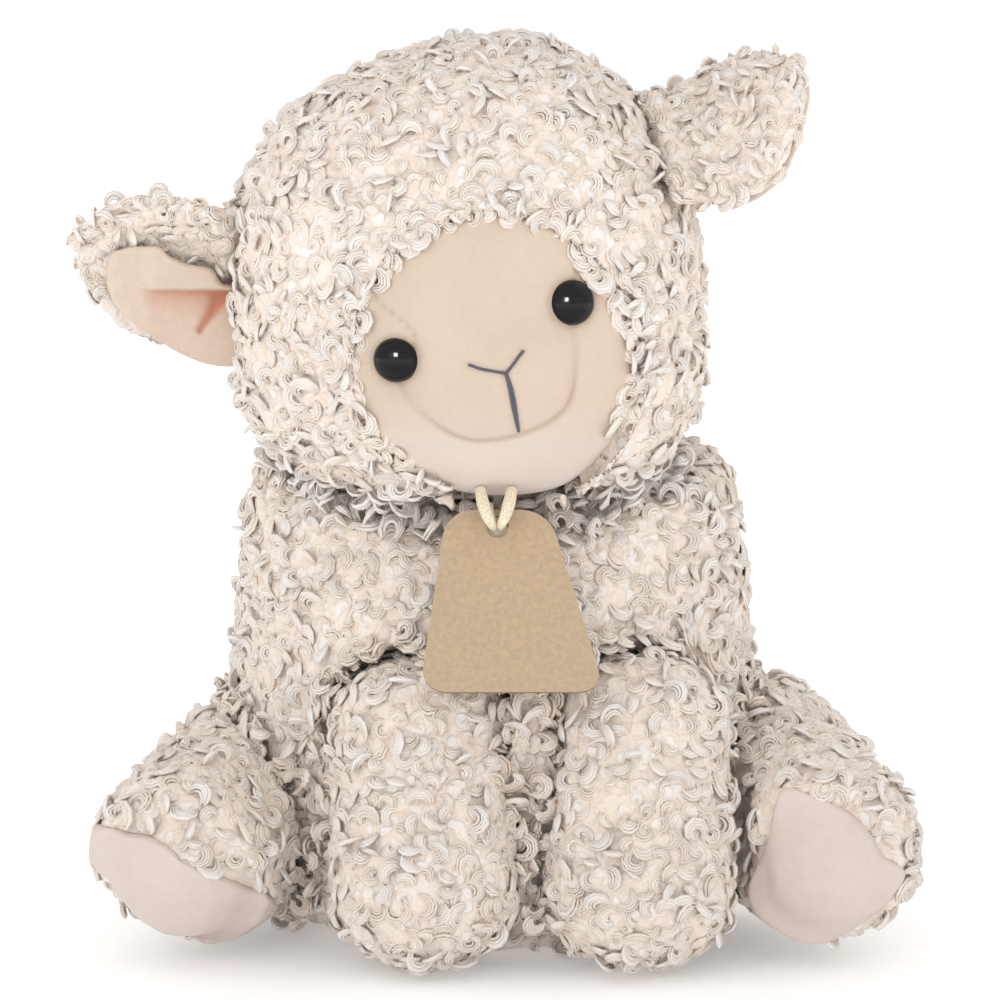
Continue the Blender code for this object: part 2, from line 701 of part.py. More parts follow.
def sole_way(label):
    azimuth, dip = SOLE_AIMS[label]
    level = Vector((math.sin(azimuth), -math.cos(azimuth), 0)) * math.cos(dip)
    return level - Vector((0, 0, math.sin(dip)))


def front_leg_room(name, side, grow):
    """The room that a front leg presses into the hind leg beside it."""
    return new_object(name, stuffed_mesh(front_leg_balls(side, LEG_GAP + grow), "X"))


def make_hind_leg(side, label, materials, body_room):
    """A leg that lies against the body and the front leg, with its sole a velour cap of its own."""
    way = sole_way(label)
    seam = HIND_FEET[label] + way * SOLE_OFFSETS[label]
    down = Vector((0, 0, -1))
    front_room = front_leg_room("front_leg_room_" + label, side, 0.0)
    wall_room = front_leg_room("front_leg_wall_room_" + label, side, FLEECE_WALL)
    core_room = front_leg_room("front_leg_core_room_" + label, side, FLEECE_WALL + SEWN_GAP)
    hollow = new_object("hind_leg_hollow_" + label, hind_leg_mesh(label, -FLEECE_WALL))
    cut(hollow, wall_room)
    leg = hind_leg_mesh(label, 0.0)
    fill_cut(leg, Vector(), down)
    fill_cut(leg, seam - way * SEWN_GAP / 2, way)
    cover = new_object("hind_leg_cover_" + label, leg, materials["fleece"])
    cut(cover, body_room, front_room, hollow)
    foot = hind_leg_mesh(label, -VELOUR_INSET)
    fill_cut(foot, seam + way * SEWN_GAP / 2, -way)
    sole = new_object("hind_foot_sole_" + label, foot, materials["velour"])
    cut(sole, hollow, front_room)
    stuffing_mesh = hind_leg_mesh(label, -FLEECE_WALL - SEWN_GAP)
    stuffing = new_object("hind_leg_stuffing_" + label, stuffing_mesh, materials["stuffing"])
    cut(stuffing, body_room, core_room)


def tail_mesh(grow):
    root = (TAIL_ROOT, (TAIL_ROOT_RADIUS + grow,) * 3)
    tip = (TAIL_TIP, (TAIL_TIP_RADIUS + grow,) * 3)
    return stuffed_mesh((root, tip), "Z", 16, 8)


def make_tail(materials):
    """A short tail whose round root turns in the back. Its cover is open inside the body."""
    hollow = new_object("tail_hollow", tail_mesh(-FLEECE_WALL))
    mouth_radius = TAIL_ROOT_RADIUS - FLEECE_WALL
    mouth = turned_mesh(
        [(0.0, 0.0), (mouth_radius, 0.0), (mouth_radius, OVERRUN), (0.0, OVERRUN)],
        16, aim(TAIL_ROOT, Vector((0, -1, 0))),
    )
    cover = new_object("tail_cover", tail_mesh(0.0), materials["fleece"])
    cut(cover, hollow, new_object("tail_mouth", mouth))
    new_object("tail_stuffing", tail_mesh(-FLEECE_WALL - SEWN_GAP), materials["stuffing"])
    radius = TAIL_ROOT_RADIUS + RUNNING_GAP
    return new_object("tail_room", ball_mesh(TAIL_ROOT, (radius,) * 3, 24, 14))


def make_neck(materials):
    """The neck's fleece band and the ball of stuffing inside it."""
    band = neck_ball("neck_cover", 0.0, materials["fleece"])
    bore = turned_mesh(
        [(0.0, OVERRUN + NECK_RADIUS), (NECK_BAND_BORE, OVERRUN + NECK_RADIUS),
         (NECK_BAND_BORE, -OVERRUN - NECK_RADIUS), (0.0, -OVERRUN - NECK_RADIUS)],
        NECK_SIDES, Matrix.Translation(NECK_CENTRE),
    )
    cut(band, neck_ball("neck_hollow", -NECK_BAND_WALL), new_object("neck_bore", bore))
    neck_ball("neck_stuffing", -NECK_BAND_WALL - RUNNING_GAP, materials["stuffing"])
    return neck_ball("neck_room", RUNNING_GAP)


def neck_cord_point(angle):
    """A point of the cord round the neck, by the angle from its front. It lies free in front and
    is pressed into the fleece at the sides and the back."""
    x = NECK_CORD_RADIUS * math.sin(angle)
    y = -NECK_CORD_RADIUS * math.cos(angle) * (1 - NECK_CORD_DRAW * max(0.0, math.cos(angle)))
    from_front = min(abs(math.remainder(angle, 2 * math.pi)) / NECK_CORD_FREE_HALF, 1.0)
    free_share = math.cos(math.pi / 2 * from_front)
    lift = NECK_CORD_LIFT * free_share - NECK_CORD_SINK * (1 - free_share)
    return NECK_CENTRE + Vector((x, y, shoulder_height(x, y) + lift))


def neck_cord_points():
    return [neck_cord_point(2 * math.pi * step / CORD_STEPS) for step in range(CORD_STEPS)]


def make_neck_cord(materials):
    """The cotton cord tied round the neck, lying on the slope of the shoulders."""
    tube("neck_cord", neck_cord_points(), CORD_RADIUS, materials["cord"], cyclic=True)


def neck_cord_room():
    """The groove that the cord presses into the fleece."""
    radius = CORD_RADIUS + SEWN_GAP
    name, groove = as_mesh(tube("neck_cord_groove", neck_cord_points(), radius, None, cyclic=True))
    return new_object(name, groove)


def tag_cord_start():
    """The point where the tag's cord hangs from the one round the neck."""
    front = neck_cord_point(math.asin((TAG_X - NECK_CENTRE.x) / NECK_CORD_RADIUS))
    return front - Vector((0, TAG_CORD_AHEAD, CORD_RADIUS))


def body_half(name, side):
    """A block over the front or the back of the body, up to the side seams."""
    half = bmesh.new()
    bmesh.ops.create_cube(half, size=1.0)
    reach = 2 * (BODY_HALF_WIDTH + OVERRUN)
    bmesh.ops.scale(half, verts=half.verts, vec=(2 * reach, reach, 2 * BODY_HEIGHT))
    shift = side * (reach - SEWN_GAP) / 2
    bmesh.ops.translate(half, verts=half.verts, vec=(BODY_X, shift, BODY_HEIGHT / 2))
    return new_object(name, half)


def seat_disc(name, grow, top, material=None):
    """The oval seat panel, or the opening that it fills."""
    bm = bmesh.new()
    low = 0.0 if material else -OVERRUN
    bmesh.ops.create_cone(
        bm, cap_ends=True, segments=BODY_SIDES, radius1=1.0, radius2=1.0, depth=top - low
    )
    scale = (SEAT_HALF_WIDTH + grow, SEAT_HALF_DEPTH + grow, 1.0)
    bmesh.ops.scale(bm, verts=bm.verts, vec=scale)
    bmesh.ops.translate(bm, verts=bm.verts, vec=(BODY_X, 0, (top + low) / 2))
    return new_object(name, bm, material)


def make_body(materials, rooms):
    hollow = body_solid("body_hollow", -FLEECE_WALL)
    seat_opening = seat_disc("seat_opening", SEWN_GAP, OVERRUN)
    for side, label in ((-1, "front"), (1, "back")):
        cover = body_solid("body_cover_" + label, 0.0, materials["fleece"])
        cut(cover, hollow, seat_opening, body_half("body_half_" + label, -side), *rooms)
    seat_disc("seat_panel", 0.0, FLEECE_WALL - SEWN_GAP, materials["velour"])
    stuffing = body_solid("body_stuffing", -FLEECE_WALL - SEWN_GAP, materials["stuffing"])
    cut(stuffing, *rooms)


def make_tag(materials):
    """The bare card tag and the cord that it hangs on, knotted behind the card."""
    frame = Matrix.Translation(TAG_HOLE) @ Matrix.Rotation(-TAG_LEAN, 4, "X")
    top = TAG_ABOVE_HOLE
    low = TAG_ABOVE_HOLE - TAG_LENGTH
    outline = (
        (-TAG_TOP_WIDTH / 2, top), (TAG_TOP_WIDTH / 2, top),
        (TAG_X_SHIFT + TAG_BOTTOM_WIDTH / 2, low), (TAG_X_SHIFT - TAG_BOTTOM_WIDTH / 2, low),
    )
    bm = bmesh.new()
    face = bm.faces.new([bm.verts.new((x, -TAG_WALL / 2, z)) for x, z in outline])
    bmesh.ops.bevel(
        bm, geom=face.verts[:], offset=TAG_CORNER, offset_type="OFFSET", affect="VERTICES",
        segments=5, profile=0.5, material=-1,
    )
    grown = bmesh.ops.extrude_face_region(bm, geom=bm.faces[:])
    moved = [item for item in grown["geom"] if isinstance(item, bmesh.types.BMVert)]
    bmesh.ops.translate(bm, verts=moved, vec=(0, TAG_WALL, 0))
    bmesh.ops.transform(bm, verts=bm.verts, matrix=frame)
    card = new_object("tag_card", bm, materials["card"])
    across_card = frame @ Matrix.Rotation(math.pi / 2, 4, "X")
    hole = [(0.0, OVERRUN), (TAG_HOLE_RADIUS, OVERRUN), (TAG_HOLE_RADIUS, -OVERRUN), (0.0, -OVERRUN)]
    cut(card, new_object("tag_hole", turned_mesh(hole, 16, across_card)))
    knot_depth = TAG_WALL / 2 + KNOT_GAP + KNOT_RADIUS
    knot_place = frame @ Vector((0, knot_depth, 0))
    side_step = CORD_RADIUS * STRAND_SPREAD_SHARE
    in_front = TAG_WALL / 2 + CORD_RADIUS + SEWN_GAP
    entry = frame @ Vector((0, -in_front, CORD_RADIUS / 2))
    rim = frame @ Vector((0, -in_front, TAG_ABOVE_HOLE + CORD_RADIUS))
    start = tag_cord_start()
    points = []
    for side in (-1, 1):
        aside = Vector((side * side_step, 0, 0))
        spread = Vector((side * CORD_HALF_SPREAD, 0, -CORD_SAG))
        strand = [
            knot_place + aside, entry + aside, rim + 2 * aside, rim.lerp(start, CORD_SAG_SHARE) + spread,
            start + aside,
        ]
        points += strand if side < 0 else list(reversed(strand))
    name, cord_mesh = as_mesh(tube("tag_cord", points, CORD_RADIUS, None))
    cord = new_object(name, cord_mesh, materials["cord"])
    knot = new_object("tag_knot", ball_mesh(knot_place, (KNOT_RADIUS,) * 3, 12, 8))
    combine(cord, "UNION", knot)


def hind_hinge(label):
    """The point where the line from hip to foot leaves the body, raised to the top of the seam."""
    hip = HIND_HIPS[label]
    away = HIND_FEET[label] - hip
    return hip + away * HIND_HINGE_SHARE + Vector((0, 0, HIND_HINGE_RISE))


def add_joints():
    """Hangs each moving group on an empty that stands on its joint's axis."""
    head = [
        "head_cover_left", "head_cover_right", "face_panel", "cheek_panel", "head_stuffing",
        "eye_left", "eye_right", "eye_washer_left", "eye_washer_right", "nose_stitch",
        "mouth_stitch", "neck_cover", "neck_stuffing",
    ]
    groups = [("neck_joint", NECK_CENTRE, head)]
    for side, label in ((-1, "right"), (1, "left")):
        shift = Vector((FRONT_LEG_X + side * FRONT_LEG_SPACING / 2, 0, 0))
        ear = ear_frame(label).to_translation()
        hip = FRONT_HIP + shift
        pieces = ("hind_leg_cover_", "hind_leg_stuffing_", "hind_foot_sole_")
        groups.append(("ear_joint_" + label, ear, ["ear_cover_" + label, "ear_lining_" + label]))
        groups.append(("front_leg_joint_" + label, hip,
                       ["front_leg_cover_" + label, "front_leg_stuffing_" + label]))
        groups.append(("hind_leg_joint_" + label, hind_hinge(label), [piece + label for piece in pieces]))
    groups.append(("tail_joint", TAIL_ROOT, ["tail_cover", "tail_stuffing"]))
    groups.append(("tag_joint", TAG_HOLE, ["tag_card"]))
    for name, place, pieces in groups:
        empty = bpy.data.objects.new(name, None)
        empty.location = place
        empty.empty_display_size = OVERRUN
        bpy.context.scene.collection.objects.link(empty)
        for piece in pieces:
            piece = bpy.data.objects[piece]
            piece.parent = empty
            piece.matrix_parent_inverse = Matrix.Translation(-place)
    neck = bpy.data.objects["neck_joint"]
    for label in EARS:
        ear = bpy.data.objects["ear_joint_" + label]
        ear.parent = neck
        ear.matrix_parent_inverse = Matrix.Translation(-NECK_CENTRE)


def main():
    clear_scene()
    materials = {
        "fleece": finish_material("curly_fleece", (0.78, 0.72, 0.63), 0.95),
        "velour": finish_material("peach_velour", (0.85, 0.68, 0.56), 0.9),
        "stuffing": finish_material("fibre_stuffing", (0.9, 0.9, 0.9), 1.0),
        "eye": finish_material("black_eye", (0.01, 0.01, 0.012), 0.08),
        "washer": finish_material("lock_washer", (0.8, 0.8, 0.78), 0.5),
        "thread": finish_material("grey_thread", (0.19, 0.2, 0.27), 0.7),
        "card": finish_material("kraft_card", (0.6, 0.45, 0.29), 0.85),
        "cord": finish_material("cotton_cord", (0.78, 0.66, 0.5), 0.9),
    }
    neck_room = make_neck(materials)
    ear_rooms = [make_ear(label, materials) for label in EARS]
    make_head(materials, neck_room, ear_rooms)
    body_room = body_solid("body_room", RUNNING_GAP)
    hip_rooms = []
    for side, label in ((-1, "right"), (1, "left")):
        hip_rooms.append(make_front_leg(side, label, materials, body_room))
        make_hind_leg(side, label, materials, body_room)
    tail_room = make_tail(materials)
    make_body(materials, [neck_room, tail_room, neck_cord_room(), *hip_rooms])
    make_neck_cord(materials)
    make_tag(materials)
    add_joints()


main()
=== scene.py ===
# %% [markdown]
# # Looks of a plush sheep
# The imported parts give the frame. This script builds what is seen on them: curled fleece, piled
# cloth, eyes, stitching, a bare card tag and its cord. Lengths are in metres.

import math

import bmesh
import bpy
import numpy as np
from mathutils import Matrix, Vector
from mathutils.bvhtree import BVHTree
from mathutils.kdtree import KDTree


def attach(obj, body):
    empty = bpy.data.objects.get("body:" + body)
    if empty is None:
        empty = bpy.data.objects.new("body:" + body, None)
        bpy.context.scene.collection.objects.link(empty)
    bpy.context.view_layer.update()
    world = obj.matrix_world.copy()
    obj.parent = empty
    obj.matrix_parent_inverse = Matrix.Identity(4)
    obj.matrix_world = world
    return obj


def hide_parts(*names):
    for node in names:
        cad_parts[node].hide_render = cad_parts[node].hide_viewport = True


MM = 0.001
SEED = 20

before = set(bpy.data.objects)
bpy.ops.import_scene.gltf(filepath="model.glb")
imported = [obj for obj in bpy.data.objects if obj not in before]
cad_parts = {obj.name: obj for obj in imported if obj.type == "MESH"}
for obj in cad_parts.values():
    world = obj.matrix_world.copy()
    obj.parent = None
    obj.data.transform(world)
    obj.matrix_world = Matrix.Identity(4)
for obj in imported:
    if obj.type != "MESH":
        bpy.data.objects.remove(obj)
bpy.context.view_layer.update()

# %% [markdown]
# ## Camera
# It stands a little above the toy, with a long lens, and looks at the middle of it.

# %%
TARGET = Vector((0.0001, 0.0, 0.1206))
CAMERA_DISTANCE = 1.15
CAMERA_RISE = math.radians(7.0)
# Half of the width that is seen at the target.
HALF_VIEW = 0.13986
VIEW_UP = np.array((0.0, math.sin(CAMERA_RISE), math.cos(CAMERA_RISE)))
VIEW_BACK = np.array((0.0, -math.cos(CAMERA_RISE), math.sin(CAMERA_RISE)))
VIEW_RIGHT = np.array((1.0, 0.0, 0.0))
CAMERA_PLACE = np.array(TARGET) + VIEW_BACK * CAMERA_DISTANCE


def make_camera():
    data = bpy.data.cameras.new("camera")
    data.lens = data.sensor_width / 2 * CAMERA_DISTANCE / HALF_VIEW
    camera = bpy.data.objects.new("camera", data)
    camera.location = CAMERA_PLACE
    camera.rotation_euler = Vector(VIEW_BACK).to_track_quat("Z", "Y").to_euler()
    bpy.context.scene.collection.objects.link(camera)
    bpy.context.scene.camera = camera
    bpy.context.scene.view_settings.view_transform = "Standard"


def in_view(points):
    """Where points are seen, right and up, on the plane that faces the camera at its target."""
    away = np.asarray(points) - np.array(TARGET)
    nearer = CAMERA_DISTANCE / (CAMERA_DISTANCE - away @ VIEW_BACK)
    return np.stack([(away @ VIEW_RIGHT) * nearer, (away @ VIEW_UP) * nearer], -1)


def sight(place):
    """The camera's place and its line of sight through a place of that plane."""
    aim = np.array(TARGET) + VIEW_RIGHT * place[0] + VIEW_UP * place[1]
    return Vector(CAMERA_PLACE), Vector(aim - CAMERA_PLACE).normalized()


make_camera()
print("camera", round(bpy.context.scene.camera.data.lens, 1), "mm lens")

# %% [markdown]
# ## Shader arithmetic
# A small class wraps a socket, so that a material is written as ordinary arithmetic.


# %%
class Value:
    """A socket of a material's node tree that takes part in arithmetic."""

    def __init__(self, tree, socket):
        self.tree = tree
        self.socket = socket

    def maths(self, operation, *others):
        return node(self.tree, "ShaderNodeMath", self, *others, operation=operation)

    def __add__(self, other):
        return self.maths("ADD", other)

    def __mul__(self, other):
        return self.maths("MULTIPLY", other)

    def step(self, low, high):
        """0 below low and 1 above high, smooth between."""
        return node(
            self.tree, "ShaderNodeMapRange", self, low, high, 0.0, 1.0,
            interpolation_type="SMOOTHSTEP",
        )


def node(tree, kind, *values, output=0, **settings):
    """Any node, with its inputs in order and its settings by name."""
    made = tree.nodes.new(kind)
    for name, value in settings.items():
        setattr(made, name, value)
    inputs = [socket for socket in made.inputs if socket.enabled]
    for socket, value in zip(inputs, values):
        if isinstance(value, Value):
            tree.links.new(value.socket, socket)
        else:
            socket.default_value = value
    outputs = [socket for socket in made.outputs if socket.enabled]
    return Value(tree, outputs[output])


def mix(factor, first, second):
    """A colour between two, by a factor from 0 to 1."""
    tree = factor.tree
    made = tree.nodes.new("ShaderNodeMix")
    made.data_type = "RGBA"
    tree.links.new(factor.socket, made.inputs["Factor"])
    for socket, value in ((made.inputs[6], first), (made.inputs[7], second)):
        if isinstance(value, Value):
            tree.links.new(value.socket, socket)
        else:
            socket.default_value = (*value, 1.0)
    return Value(tree, made.outputs[2])


def noise(tree, place, scale, detail):
    """Noise with a number of cells per metre and of finer layers."""
    return node(tree, "ShaderNodeTexNoise", place, scale, detail)


def object_place(tree):
    made = tree.nodes.new("ShaderNodeTexCoord")
    return Value(tree, made.outputs["Object"])


def material(name, build, **constants):
    """A material whose driven sockets come from build(tree), and whose other sockets are constants."""
    made = bpy.data.materials.new(name)
    made.use_nodes = True
    tree = made.node_tree
    shader = tree.nodes["Principled BSDF"]
    for socket, value in constants.items():
        shader.inputs[socket.replace("_", " ")].default_value = value
    for socket, value in build(tree).items():
        if isinstance(value, Value):
            tree.links.new(value.socket, shader.inputs[socket])
        else:
            shader.inputs[socket].default_value = (*value, 1.0)
    return made


def bump(tree, height, distance):
    made = tree.nodes.new("ShaderNodeBump")
    made.inputs["Distance"].default_value = distance
    tree.links.new(height.socket, made.inputs["Height"])
    return Value(tree, made.outputs["Normal"])


# %% [markdown]
# ## Materials

# %%
# Fleece colours from low in the pile to the tips: the lower ones are darker and tanner, partly the
# roots' own tan and partly painted shade; the cool one is a random tone of some strands and patches.
FLEECE_DEEP = (0.81, 0.68, 0.57)
FLEECE_MIDDLE = (0.835, 0.75, 0.675)
FLEECE_TOP = (0.85, 0.785, 0.73)
FLEECE_COOL = (0.845, 0.80, 0.77)
VELOUR = (0.62, 0.50, 0.395)
VELOUR_PALE = (0.64, 0.525, 0.425)
VELOUR_CHIN = (0.69, 0.60, 0.54)
# Painted shade in the seams' creases and round the eyes, which also draws the seams' own line.
VELOUR_SEAM_SHADE = (0.40, 0.27, 0.19)
LINING_PALE = (0.70, 0.575, 0.48)
# Painted shade under the ear's lip and in its crease.
LINING_FOLD_SHADE = (0.50, 0.20, 0.12)
SOLE = (0.675, 0.58, 0.53)
SOLE_PALE = (0.70, 0.60, 0.54)
KRAFT = (0.52, 0.39, 0.26)
KRAFT_EDGE = (0.24, 0.15, 0.08)
COTTON = (0.86, 0.77, 0.58)
THREAD = (0.115, 0.115, 0.14)
EYE_BLACK = (0.008, 0.008, 0.010)
WASHER_WHITE = (0.75, 0.75, 0.72)
# The heights between which the face's cloth grows paler towards the chin.
CHIN_HEIGHTS = (0.131, 0.160)
# How curls look that lie too deep to be strands: their size, bend, rings and depth.
WOOL_CURL = 4.2 * MM
WOOL_BEND = 3.5 * MM
WOOL_RINGS = 16.0
WOOL_DEPTH = 0.65 * MM
RING_DRIFT = 6.0
# Cells of noise per metre.
WOOL_BEND_CELLS = 260.0
RING_DRIFT_CELLS = 150.0
WOOL_FIBRE_CELLS = 1900.0
WOOL_BROAD_CELLS = 55.0
VELOUR_BROAD_CELLS = 38.0
VELOUR_PILE_CELLS = 2600.0
VELOUR_BRUSHED_CELLS = 420.0
KRAFT_GRAIN_CELLS = 700.0
KRAFT_FLECK_CELLS = 2400.0
COTTON_FIBRE_CELLS = 1800.0
# How much darker a colour gets in the dips of its cloth, card or cord.
VELOUR_DIM = 0.93
KRAFT_DIM = 0.86
COTTON_DIM = 0.78
VELOUR_DEPTH = 0.12 * MM
KRAFT_DEPTH = 0.05 * MM
COTTON_DEPTH = 0.15 * MM


def curl_looks(tree):
    """A strand's map carries its shade across and its height in the pile upward; lower in the pile its
    colour is darker and tanner, partly the roots' own tan and partly painted shade.
    """
    chart = node(tree, "ShaderNodeUVMap", uv_map="OFBake")
    strand = node(tree, "ShaderNodeSeparateXYZ", chart, output=0)
    tone = node(tree, "ShaderNodeSeparateXYZ", chart, output=1)
    low = mix(tone.step(0.0, 0.42), FLEECE_DEEP, FLEECE_MIDDLE)
    warm = mix(tone.step(0.35, 0.80), low, FLEECE_TOP)
    cool = mix(tone.step(0.35, 0.80), low, FLEECE_COOL)
    return {"Base Color": mix(strand.step(0.45, 0.55), warm, cool)}


def wool_looks(tree):
    """Curls that lie too deep to be strands: rings round scattered centres, bent by noise."""
    place = object_place(tree)
    bend = node(tree, "ShaderNodeTexNoise", place, WOOL_BEND_CELLS, 2.0, output=1)
    bent = node(tree, "ShaderNodeVectorMath", bend, (0.5, 0.5, 0.5), operation="SUBTRACT")
    bent = node(tree, "ShaderNodeVectorMath", bent, WOOL_BEND, operation="SCALE")
    bent = node(tree, "ShaderNodeVectorMath", place, bent, operation="ADD")
    cells = node(tree, "ShaderNodeTexVoronoi", bent, 1 / WOOL_CURL)
    lump = (cells * -1.1 + 1).step(0.0, 1.0)
    drift = noise(tree, place, RING_DRIFT_CELLS, 1.0) * RING_DRIFT
    rings = (cells * WOOL_RINGS + drift).maths("SINE") * 0.5 + 0.5
    fine = noise(tree, bent, WOOL_FIBRE_CELLS, 3.0)
    height = lump * 0.60 + rings * 0.32 + fine * 0.10
    # Darker and tanner between the curls and in the rings: partly the roots' own tan, partly painted
    # shade.
    shade = (lump * 0.5 + rings * 0.28 + fine * 0.3).step(0.18, 0.75)
    broad = noise(tree, place, WOOL_BROAD_CELLS, 1.0).step(0.35, 0.65)
    pale = mix(broad, FLEECE_TOP, FLEECE_COOL)
    return {"Base Color": mix(shade, FLEECE_DEEP, pale), "Normal": bump(tree, height, WOOL_DEPTH)}


def dimmed(colour, share):
    return tuple(share * part for part in colour)


def carried(tree, name):
    """A number that the mesh carries at each point; 0 where it carries none."""
    made = tree.nodes.new("ShaderNodeAttribute")
    made.attribute_name = name
    return Value(tree, made.outputs["Fac"])


def velour_looks(pale, deep, chin=None):
    """Brushed cloth in two shades, with painted shade along its seams, which also draws their line,
    painted shade in its folds and, on the face, a paler chin.
    """
    def build(tree):
        place = object_place(tree)
        broad = noise(tree, place, VELOUR_BROAD_CELLS, 1.0).step(0.35, 0.65)
        pile = noise(tree, place, VELOUR_PILE_CELLS, 1.0)
        brushed = noise(tree, place, VELOUR_BRUSHED_CELLS, 3.0)
        shade = (pile * 0.5 + brushed * 0.5).step(0.30, 0.70)
        cloth = mix(shade, mix(broad, dimmed(deep, VELOUR_DIM), deep), mix(broad, deep, pale))
        if chin:
            height = node(tree, "ShaderNodeSeparateXYZ", place, output=2)
            cloth = mix(height.step(*CHIN_HEIGHTS), chin, cloth)
        # Painted shade in the seams' creases and round the eyes, also the seams' line, then painted
        # shade under the ear's lip and in its crease.
        seam_shaded = mix(carried(tree, "seam") * 0.7, cloth, VELOUR_SEAM_SHADE)
        return {
            "Base Color": mix(carried(tree, "fold"), seam_shaded, LINING_FOLD_SHADE),
            "Normal": bump(tree, pile * 0.6 + brushed * 0.4, VELOUR_DEPTH),
        }

    return build


def kraft_looks(tree):
    place = object_place(tree)
    grain = noise(tree, place, KRAFT_GRAIN_CELLS, 4.0)
    fleck = noise(tree, place, KRAFT_FLECK_CELLS, 1.0)
    shade = (grain * 0.6 + fleck * 0.4).step(0.35, 0.65)
    return {
        "Base Color": mix(shade, dimmed(KRAFT, KRAFT_DIM), KRAFT),
        "Normal": bump(tree, grain, KRAFT_DEPTH),
    }


def cord_looks(tree):
    fibre = noise(tree, object_place(tree), COTTON_FIBRE_CELLS, 3.0)
    return {
        "Base Color": mix(fibre.step(0.35, 0.6), dimmed(COTTON, COTTON_DIM), COTTON),
        "Normal": bump(tree, fibre, COTTON_DEPTH),
    }


def plain(colour):
    return lambda tree: {"Base Color": colour}


PILED = {"Roughness": 0.95, "Specular_IOR_Level": 0.1, "Sheen_Weight": 0.2}
WOOLLY = {"Roughness": 1.0, "Specular_IOR_Level": 0.0, "Sheen_Weight": 0.25}
MATERIALS = {
    "curls": material("curls", curl_looks, **WOOLLY),
    "wool": material("wool", wool_looks, **WOOLLY),
    "velour": material("velour", velour_looks(VELOUR_PALE, VELOUR, VELOUR_CHIN), **PILED),
    "sole": material("sole_velour", velour_looks(SOLE_PALE, SOLE), **PILED),
    "lining": material("ear_velour", velour_looks(LINING_PALE, VELOUR), **PILED),
    "eye": material("eye_plastic", plain(EYE_BLACK), Roughness=0.13, Specular_IOR_Level=0.2),
    "washer": material("washer_plastic", plain(WASHER_WHITE), Roughness=0.5),
    "thread": material("thread", plain(THREAD), Roughness=0.8, Specular_IOR_Level=0.1),
    "kraft": material("kraft_card", kraft_looks, Roughness=0.9, Specular_IOR_Level=0.1),
    "kraft_edge": material("kraft_edge", plain(KRAFT_EDGE), Roughness=0.85),
    "cotton": material("cotton_cord", cord_looks, Roughness=0.9, Specular_IOR_Level=0.1),
}
print("materials", sorted(MATERIALS))

# %% [markdown]
# ## Objects
# Helpers that copy a imported part, apply its modifiers, link a new mesh and hide the imported parts it
# stands for.


# %%
def look_as(made, look):
    made.data.materials.clear()
    made.data.materials.append(MATERIALS[look])
    return made


def new_object(name, mesh, look=None):
    made = bpy.data.objects.new(name, mesh)
    bpy.context.scene.collection.objects.link(made)
    return look_as(made, look) if look else made


def from_bmesh(name, bm, look=None):
    mesh = bpy.data.meshes.new(name)
    for face in bm.faces:
        face.smooth = True
    bm.to_mesh(mesh)
    bm.free()
    return new_object(name, mesh, look)


def dress(made, body, slot, *nodes):
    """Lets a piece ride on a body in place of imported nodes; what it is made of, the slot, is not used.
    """
    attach(made, body)
    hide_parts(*nodes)
    return made


def settle(made):
    """Applies the object's modifiers."""
    graph = bpy.context.evaluated_depsgraph_get()
    mesh = bpy.data.meshes.new_from_object(made.evaluated_get(graph))
    made.modifiers.clear()
    made.data = mesh
    return made


def copy_of(name, *nodes):
    """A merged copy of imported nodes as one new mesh."""
    bm = bmesh.new()
    for source in nodes:
        bm.from_mesh(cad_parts[source].data)
    bmesh.ops.remove_doubles(bm, verts=bm.verts, dist=0.01 * MM)
    return from_bmesh(name, bm)


def soften(made, cell, rounds, grow=0.0):
    """Remeshes a copy in small cells and smooths it, as cloth over stuffing."""
    remesh = made.modifiers.new("cells", "REMESH")
    remesh.mode = "VOXEL"
    remesh.voxel_size = cell
    smooth = made.modifiers.new("smooth", "SMOOTH")
    smooth.iterations = rounds
    smooth.factor = 0.5
    settle(made)
    if grow:
        mesh = made.data
        for vert, normal in zip(mesh.vertices, [Vector(n.vector) for n in mesh.vertex_normals]):
            vert.co += normal * grow
    for face in made.data.polygons:
        face.use_smooth = True
    return made


# %% [markdown]
# ## Forms under the fleece
# Each is its packed covers and stuffing as one rounded form, a little under the tips of the pile.

# %%
# The size of the cells, the rounds of smoothing and the growth of a form.
GROUND = (1.6 * MM, 7, -2.2 * MM)
GROUNDS = {"ear": (0.9 * MM, 5, -0.9 * MM), "neck": (1.6 * MM, 3, -0.5 * MM)}
STUFFING_GROW = 1.6 * MM
FORMS = {
    "body": (("body_cover_front", "body_cover_back", "seat_panel"), ("body_stuffing",)),
    "head": (("head_cover_left", "head_cover_right"), ("head_stuffing",)),
    "neck_band": (("neck_cover",), ()),
    "tail": (("tail_cover",), ("tail_stuffing",)),
}
for side in ("left", "right"):
    for leg in ("front_leg_", "hind_leg_"):
        FORMS[leg + side] = ((leg + "cover_" + side,), (leg + "stuffing_" + side,))
    FORMS["ear_" + side] = (("ear_cover_" + side,), ())


def make_skin(body):
    covers, stuffing = FORMS[body]
    made = copy_of(body + "_form", *covers)
    if stuffing:
        core = copy_of("core", *stuffing)
        grown = bmesh.new()
        grown.from_mesh(core.data)
        for vert in grown.verts:
            vert.co += vert.normal * STUFFING_GROW
        merged = bmesh.new()
        merged.from_mesh(made.data)
        grown.to_mesh(core.data)
        merged.from_mesh(core.data)
        merged.to_mesh(made.data)
        grown.free()
        merged.free()
        bpy.data.objects.remove(core)
    soften(made, *GROUNDS.get(body.split("_")[0], GROUND))
    dress(made, body, "curly_fleece", *covers, *stuffing)
    return made


def tree_of(*meshes):
    """A search tree of meshes' faces."""
    places = []
    faces = []
    for mesh in meshes:
        start = len(places)
        places += [vert.co for vert in mesh.vertices]
        faces += [[start + index for index in face.vertices] for face in mesh.polygons]
    return BVHTree.FromPolygons(places, faces)


